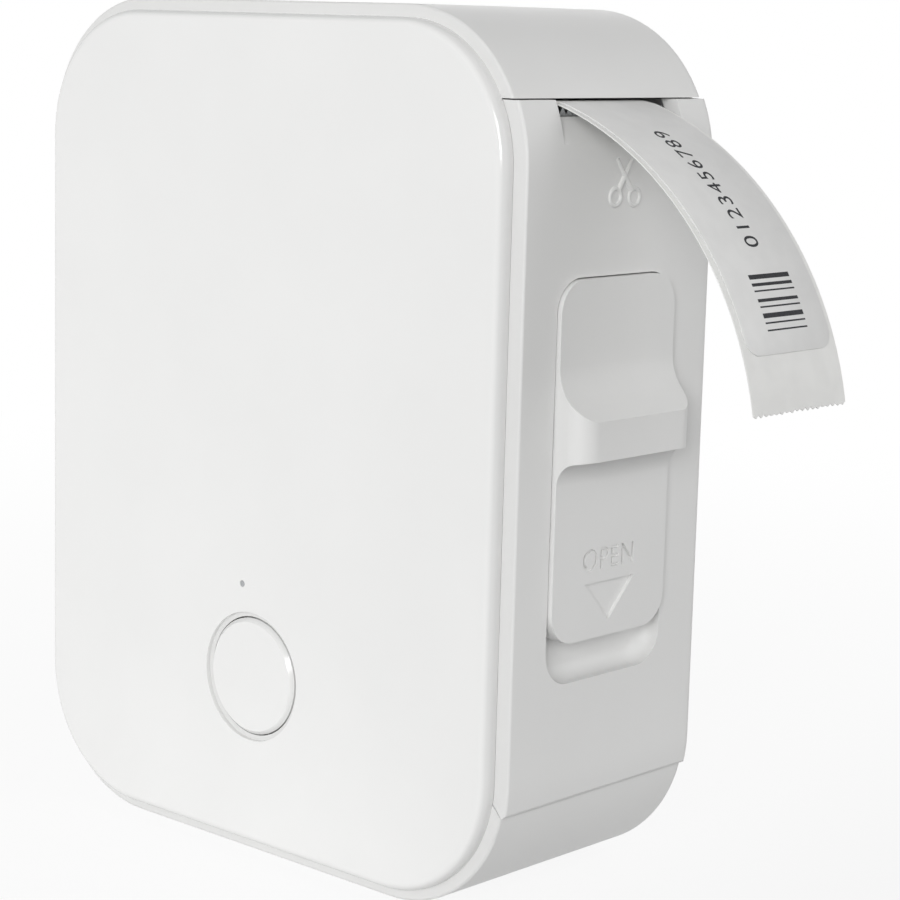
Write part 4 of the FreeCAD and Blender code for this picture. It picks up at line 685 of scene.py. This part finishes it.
class LABELPRINTER_OT_latch_marks(bpy.types.Operator):
    """Engrave the letters and the arrow into a copy of the latch slide"""
    bl_idname = "label_printer.latch_marks"
    bl_label = "Latch marks"

    def copy_slide(self):
        """A loose copy of the latch slide with clean flat faces."""
        node = frame["nodes"]["latch_slider"]
        start_fresh()
        slide = node.copy()
        slide.data = node.data.copy()
        bpy.context.scene.collection.objects.link(slide)
        for key in list(slide.keys()):
            del slide[key]
        slide.parent = None
        only(slide)
        bpy.ops.mesh.customdata_custom_splitnormals_clear()
        face_outwards(slide)
        merge_flats(slide)
        return slide

    def word(self, middle, depth):
        """The letters, brought to their size on the latch's face."""
        word = lettering("OPEN", space_character=1.1, size=1.0, offset=0.008, extrude=1.0)
        word.dimensions = WORD_SIZE + (WORD_DEPTH * depth,)
        stand_on_face(word)
        word.location = (LATCH_FACE, middle + WORD_SHIFT, WORD_HEIGHT)
        apply_place(word)
        return word

    def arrow(self, middle, depth):
        """A flat three-sided tool, its point down, below the letters."""
        start_fresh()
        bpy.ops.mesh.primitive_cylinder_add(vertices=3, radius=1.0, depth=1.0)
        arrow = bpy.context.object
        arrow.rotation_euler = (0, 0, math.pi)
        apply_place(arrow)
        arrow.dimensions = ARROW_SIZE + (depth,)
        stand_on_face(arrow)
        top = max(point.co.z for point in arrow.data.vertices)
        arrow.location = (LATCH_FACE - depth / 2 + ARROW_PROUD, middle, ARROW_TOP - top)
        apply_place(arrow)
        return arrow

    def execute(self, context):
        depth = context.scene.label_printer.mark_depth
        low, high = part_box("latch_slider")
        middle = (low.y + high.y) / 2
        slide = self.copy_slide()
        for tool in (self.word(middle, depth), self.arrow(middle, depth)):
            face_outwards(tool)
            apply_modifier(slide, "BOOLEAN", operation="DIFFERENCE", object=tool, solver="EXACT")
            bpy.data.objects.remove(tool)
        merge_flats(slide)
        soften(slide, 30)
        apply_modifier(slide, "WEIGHTED_NORMAL", weight=100, keep_sharp=True)
        finish_piece(slide, "latch_face", "latch", finish_table()["case_white"])
        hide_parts("latch_slider")
        return {"FINISHED"}


class LABELPRINTER_OT_scissors(bpy.types.Operator):
    """Raise the cutting mark on the lid: two finger rings and two crossing blades"""
    bl_idname = "label_printer.scissors"
    bl_label = "Scissors mark"

    def execute(self, context):
        relief = context.scene.label_printer.scissor_height
        parts = []
        for ring, tip in SCISSORS:
            start_fresh()
            bpy.ops.mesh.primitive_torus_add(
                major_radius=RING_RADIUS * MM, minor_radius=SCISSOR_LINE,
                major_segments=40, minor_segments=10,
                location=(LID_FACE, ring[0] * MM, ring[1] * MM), rotation=(0, math.pi / 2, 0))
            parts.append(context.object)
            lean = math.atan2(tip[0] - ring[0], tip[1] - ring[1])
            reach = math.dist(ring, tip)
            start_fresh()
            bpy.ops.mesh.primitive_cone_add(
                vertices=12, radius1=SCISSOR_LINE * 1.5, radius2=SCISSOR_LINE * 0.9,
                depth=(reach - RING_RADIUS) * MM,
                location=(LID_FACE, (ring[0] + tip[0]) / 2 * MM + BLADE_SHIFT * math.sin(lean),
                          (ring[1] + tip[1]) / 2 * MM + BLADE_SHIFT * math.cos(lean)),
                rotation=(-lean, 0, 0))
            parts.append(context.object)
        mark = join(parts)
        # Flattened towards the lid's face until it stands out by the relief
        mark.scale = (relief / SCISSOR_LINE, 1.0, 1.0)
        mark.location = (LID_FACE - LID_FACE * relief / SCISSOR_LINE, 0, 0)
        apply_place(mark)
        soften(mark, 50)
        finish_piece(mark, "scissors_mark", "side_lid", finish_table()["case_white"])
        return {"FINISHED"}


# Springs

# Node, outer radius, turns, body, joint, the end that stays, and the length kept at the limit
SPRINGS = (("latch_springs", 0.9 * MM, 7, "side_lid", "latch_slide", "low", 0.55),
           ("head_springs", 1.3 * MM, 4, "case", "head_float", "high", 0.91))
COIL_STEPS = 24


class LABELPRINTER_OT_springs(bpy.types.Operator):
    """Wind the latch's return springs and the print head's pressure springs"""
    bl_idname = "label_printer.springs"
    bl_label = "Springs"

    def wind(self, wire, radius, turns, low, high, x, y):
        """One coil spring between two heights, standing at a place."""
        start_fresh()
        bpy.ops.mesh.primitive_circle_add(
            vertices=10, radius=wire / 2, location=(radius - wire / 2, 0, 0),
            rotation=(math.pi / 2, 0, 0))
        coil = bpy.context.object
        apply_place(coil)
        rise = high - low - wire
        apply_modifier(coil, "SCREW", axis="Z", angle=2 * math.pi, screw_offset=rise / turns,
                       iterations=turns, steps=COIL_STEPS, render_steps=COIL_STEPS,
                       use_smooth_shade=True)
        edit_all(coil)
        bpy.ops.mesh.fill_holes(sides=0)
        leave_edit()
        coil.location = (x, y, low + wire / 2)
        apply_place(coil)
        return coil

    def execute(self, context):
        wire = context.scene.label_printer.spring_wire
        steel = finish_table()["steel"]
        for node, radius, turns, body, joint, anchor, keep in SPRINGS:
            low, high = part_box(node)
            x = (low.x + high.x) / 2
            coils = [self.wind(wire, radius, turns, low.z, high.z, x, y)
                     for y in (low.y + radius, high.y - radius)]
            pair = join(coils)
            face_outwards(pair)
            finish_piece(pair, node.replace("springs", "coils"), body, steel)
            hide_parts(node)
            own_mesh(pair)
        return {"FINISHED"}


# Stage

FLOOR_SIZE = 8.0
FLOOR_DROP = 0.02 * MM
# Name, place, size and share of the key light's power
LAMPS = (("key_lamp", (0.5, -0.86, 0.3), 0.4, 1.0),
         ("side_lamp", (0.85, 0.4, 0.2), 0.6, 0.2),
         ("back_lamp", (-0.65, 0.75, 0.25), 0.6, 0.35))
LAMP_AIM = (0.0, 0.0, 46 * MM)
CAMERA_PLACE = (193.43 * MM, -196.64 * MM, 90.55 * MM)
CAMERA_TURN = (80.273, -1.53, 42.766)
SENSOR_WIDTH = 36.0
CLIP_START = 0.01


def white_card():
    # White card: almost as bright as the background to the camera and in reflections, so that the
    # shadow stays faint. Its bounce is greyer on the lid's side, where the photo has less of it.
    paper = bpy.data.materials.new("white card")
    paper.use_nodes = True
    paper.node_tree.nodes.clear()
    spot = add_node(paper, "ShaderNodeTexCoord").outputs["Object"]
    away = add_node(paper, "ShaderNodeVectorMath", {"operation": "LENGTH"}, {0: spot})
    far = add_node(paper, "ShaderNodeMapRange", {"interpolation_type": "SMOOTHSTEP"},
                   {"Value": away.outputs["Value"], "From Min": 0.04, "From Max": 0.3})
    across = add_node(paper, "ShaderNodeSeparateXYZ", {}, {"Vector": spot})
    shade = add_node(paper, "ShaderNodeMapRange", {"interpolation_type": "SMOOTHSTEP"},
                     {"Value": across.outputs["X"], "From Min": 0.0, "From Max": 0.08})
    grey = add_node(paper, "ShaderNodeMix", {"data_type": "RGBA"},
                    {0: shade.outputs["Result"], 6: linear("F2F2F2"), 7: linear("7C7C7C")})
    card = add_node(paper, "ShaderNodeBsdfDiffuse", {}, {"Color": grey.outputs[2]})
    glow = add_node(paper, "ShaderNodeEmission", {},
                    {"Color": linear("FFFFFF"), "Strength": 1.0})
    rays = add_node(paper, "ShaderNodeLightPath")
    seen = add_node(paper, "ShaderNodeMath", {"operation": "MAXIMUM"},
                    {0: rays.outputs["Is Camera Ray"], 1: rays.outputs["Is Glossy Ray"]})
    clear = add_node(paper, "ShaderNodeMath", {"operation": "MAXIMUM"},
                     {0: seen.outputs["Value"], 1: rays.outputs["Is Transmission Ray"]})
    fade = add_node(paper, "ShaderNodeMapRange", {},
                    {"Value": far.outputs["Result"], "To Min": 0.9, "To Max": 1.0})
    share = add_node(paper, "ShaderNodeMath", {"operation": "MULTIPLY"},
                     {0: clear.outputs["Value"], 1: fade.outputs["Result"]})
    mixed = add_node(paper, "ShaderNodeMixShader", {},
                     {0: share.outputs["Value"], 1: card.outputs["BSDF"],
                      2: glow.outputs["Emission"]})
    add_node(paper, "ShaderNodeOutputMaterial", {}, {"Surface": mixed.outputs["Shader"]})
    return paper


def white_studio():
    """A world that is white to the camera, and lights the part more from the sides than the top."""
    world = bpy.data.worlds.new("white studio")
    world.use_nodes = True
    world.node_tree.nodes.clear()
    rays = add_node(world, "ShaderNodeLightPath")
    seen = add_node(world, "ShaderNodeMath", {"operation": "MAXIMUM"},
                    {0: rays.outputs["Is Camera Ray"], 1: rays.outputs["Is Transmission Ray"]})
    way = add_node(world, "ShaderNodeTexCoord")
    height = add_node(world, "ShaderNodeSeparateXYZ", {}, {"Vector": way.outputs["Generated"]})
    dome = add_node(world, "ShaderNodeMapRange", {},
                    {"Value": height.outputs["Z"], "To Min": 0.95, "To Max": 0.22})
    room = add_node(world, "ShaderNodeMapRange", {},
                    {"Value": seen.outputs["Value"], "To Min": dome.outputs["Result"],
                     "To Max": 1.0})
    sky = add_node(world, "ShaderNodeBackground", {},
                   {"Color": linear("FFFFFF"), "Strength": room.outputs["Result"]})
    add_node(world, "ShaderNodeOutputWorld", {}, {"Surface": sky.outputs["Background"]})
    return world


class LABELPRINTER_OT_stage(bpy.types.Operator):
    """Set up the pale floor, the soft lamps and the camera"""
    bl_idname = "label_printer.stage"
    bl_label = "Studio stage"

    def execute(self, context):
        sizes = context.scene.label_printer
        scene = context.scene
        scene.view_settings.view_transform = "Standard"

        start_fresh()
        bpy.ops.mesh.primitive_plane_add(size=FLOOR_SIZE, location=(0, 0, -FLOOR_DROP))
        floor = context.object
        floor.name = "studio_floor"
        apply_place(floor)
        floor.data.materials.append(white_card())
        scene.world = white_studio()

        for name, place, size, share in LAMPS:
            start_fresh()
            bpy.ops.object.light_add(type="AREA", location=place)
            lamp = context.object
            lamp.name = name
            lamp.data.energy = sizes.key_power * share
            lamp.data.size = size
            towards = [a - p for a, p in zip(LAMP_AIM, place)]
            flat = math.hypot(towards[0], towards[1])
            lamp.rotation_euler = (math.atan2(flat, -towards[2]), 0,
                                   math.atan2(-towards[0], towards[1]))

        start_fresh()
        bpy.ops.object.camera_add(location=CAMERA_PLACE,
                                  rotation=[math.radians(a) for a in CAMERA_TURN])
        camera = context.object
        camera.name = "studio_camera"
        camera.data.sensor_width = SENSOR_WIDTH
        camera.data.lens = sizes.camera_lens
        camera.data.clip_start = CLIP_START
        scene.camera = camera
        return {"FINISHED"}


class LABELPRINTER_PT_sidebar(bpy.types.Panel):
    """Shows the printer's steps as buttons, and its settings"""
    bl_idname = "LABELPRINTER_PT_sidebar"
    bl_label = "Label Printer"
    bl_space_type = "VIEW_3D"
    bl_region_type = "UI"
    bl_category = "Label Printer"

    def draw(self, context):
        for operator in STEPS:
            self.layout.operator(operator.bl_idname)
        for name in LabelPrinterSettings.__annotations__:
            self.layout.prop(context.scene.label_printer, name)


STEPS = (LABELPRINTER_OT_finishes, LABELPRINTER_OT_strip, LABELPRINTER_OT_latch_marks,
         LABELPRINTER_OT_scissors, LABELPRINTER_OT_springs, LABELPRINTER_OT_stage)
CLASSES = (LabelPrinterSettings,) + STEPS + (LABELPRINTER_PT_sidebar,)


def register():
    for cls in CLASSES:
        bpy.utils.register_class(cls)
    bpy.types.Scene.label_printer = bpy.props.PointerProperty(type=LabelPrinterSettings)


def unregister():
    del bpy.types.Scene.label_printer
    for cls in reversed(CLASSES):
        bpy.utils.unregister_class(cls)


def main():
    register()
    bpy.ops.label_printer.finishes()
    bpy.ops.label_printer.strip()
    bpy.ops.label_printer.latch_marks()
    bpy.ops.label_printer.scissors()
    bpy.ops.label_printer.springs()
    bpy.ops.label_printer.stage()


if __name__ == "__main__":
    main()
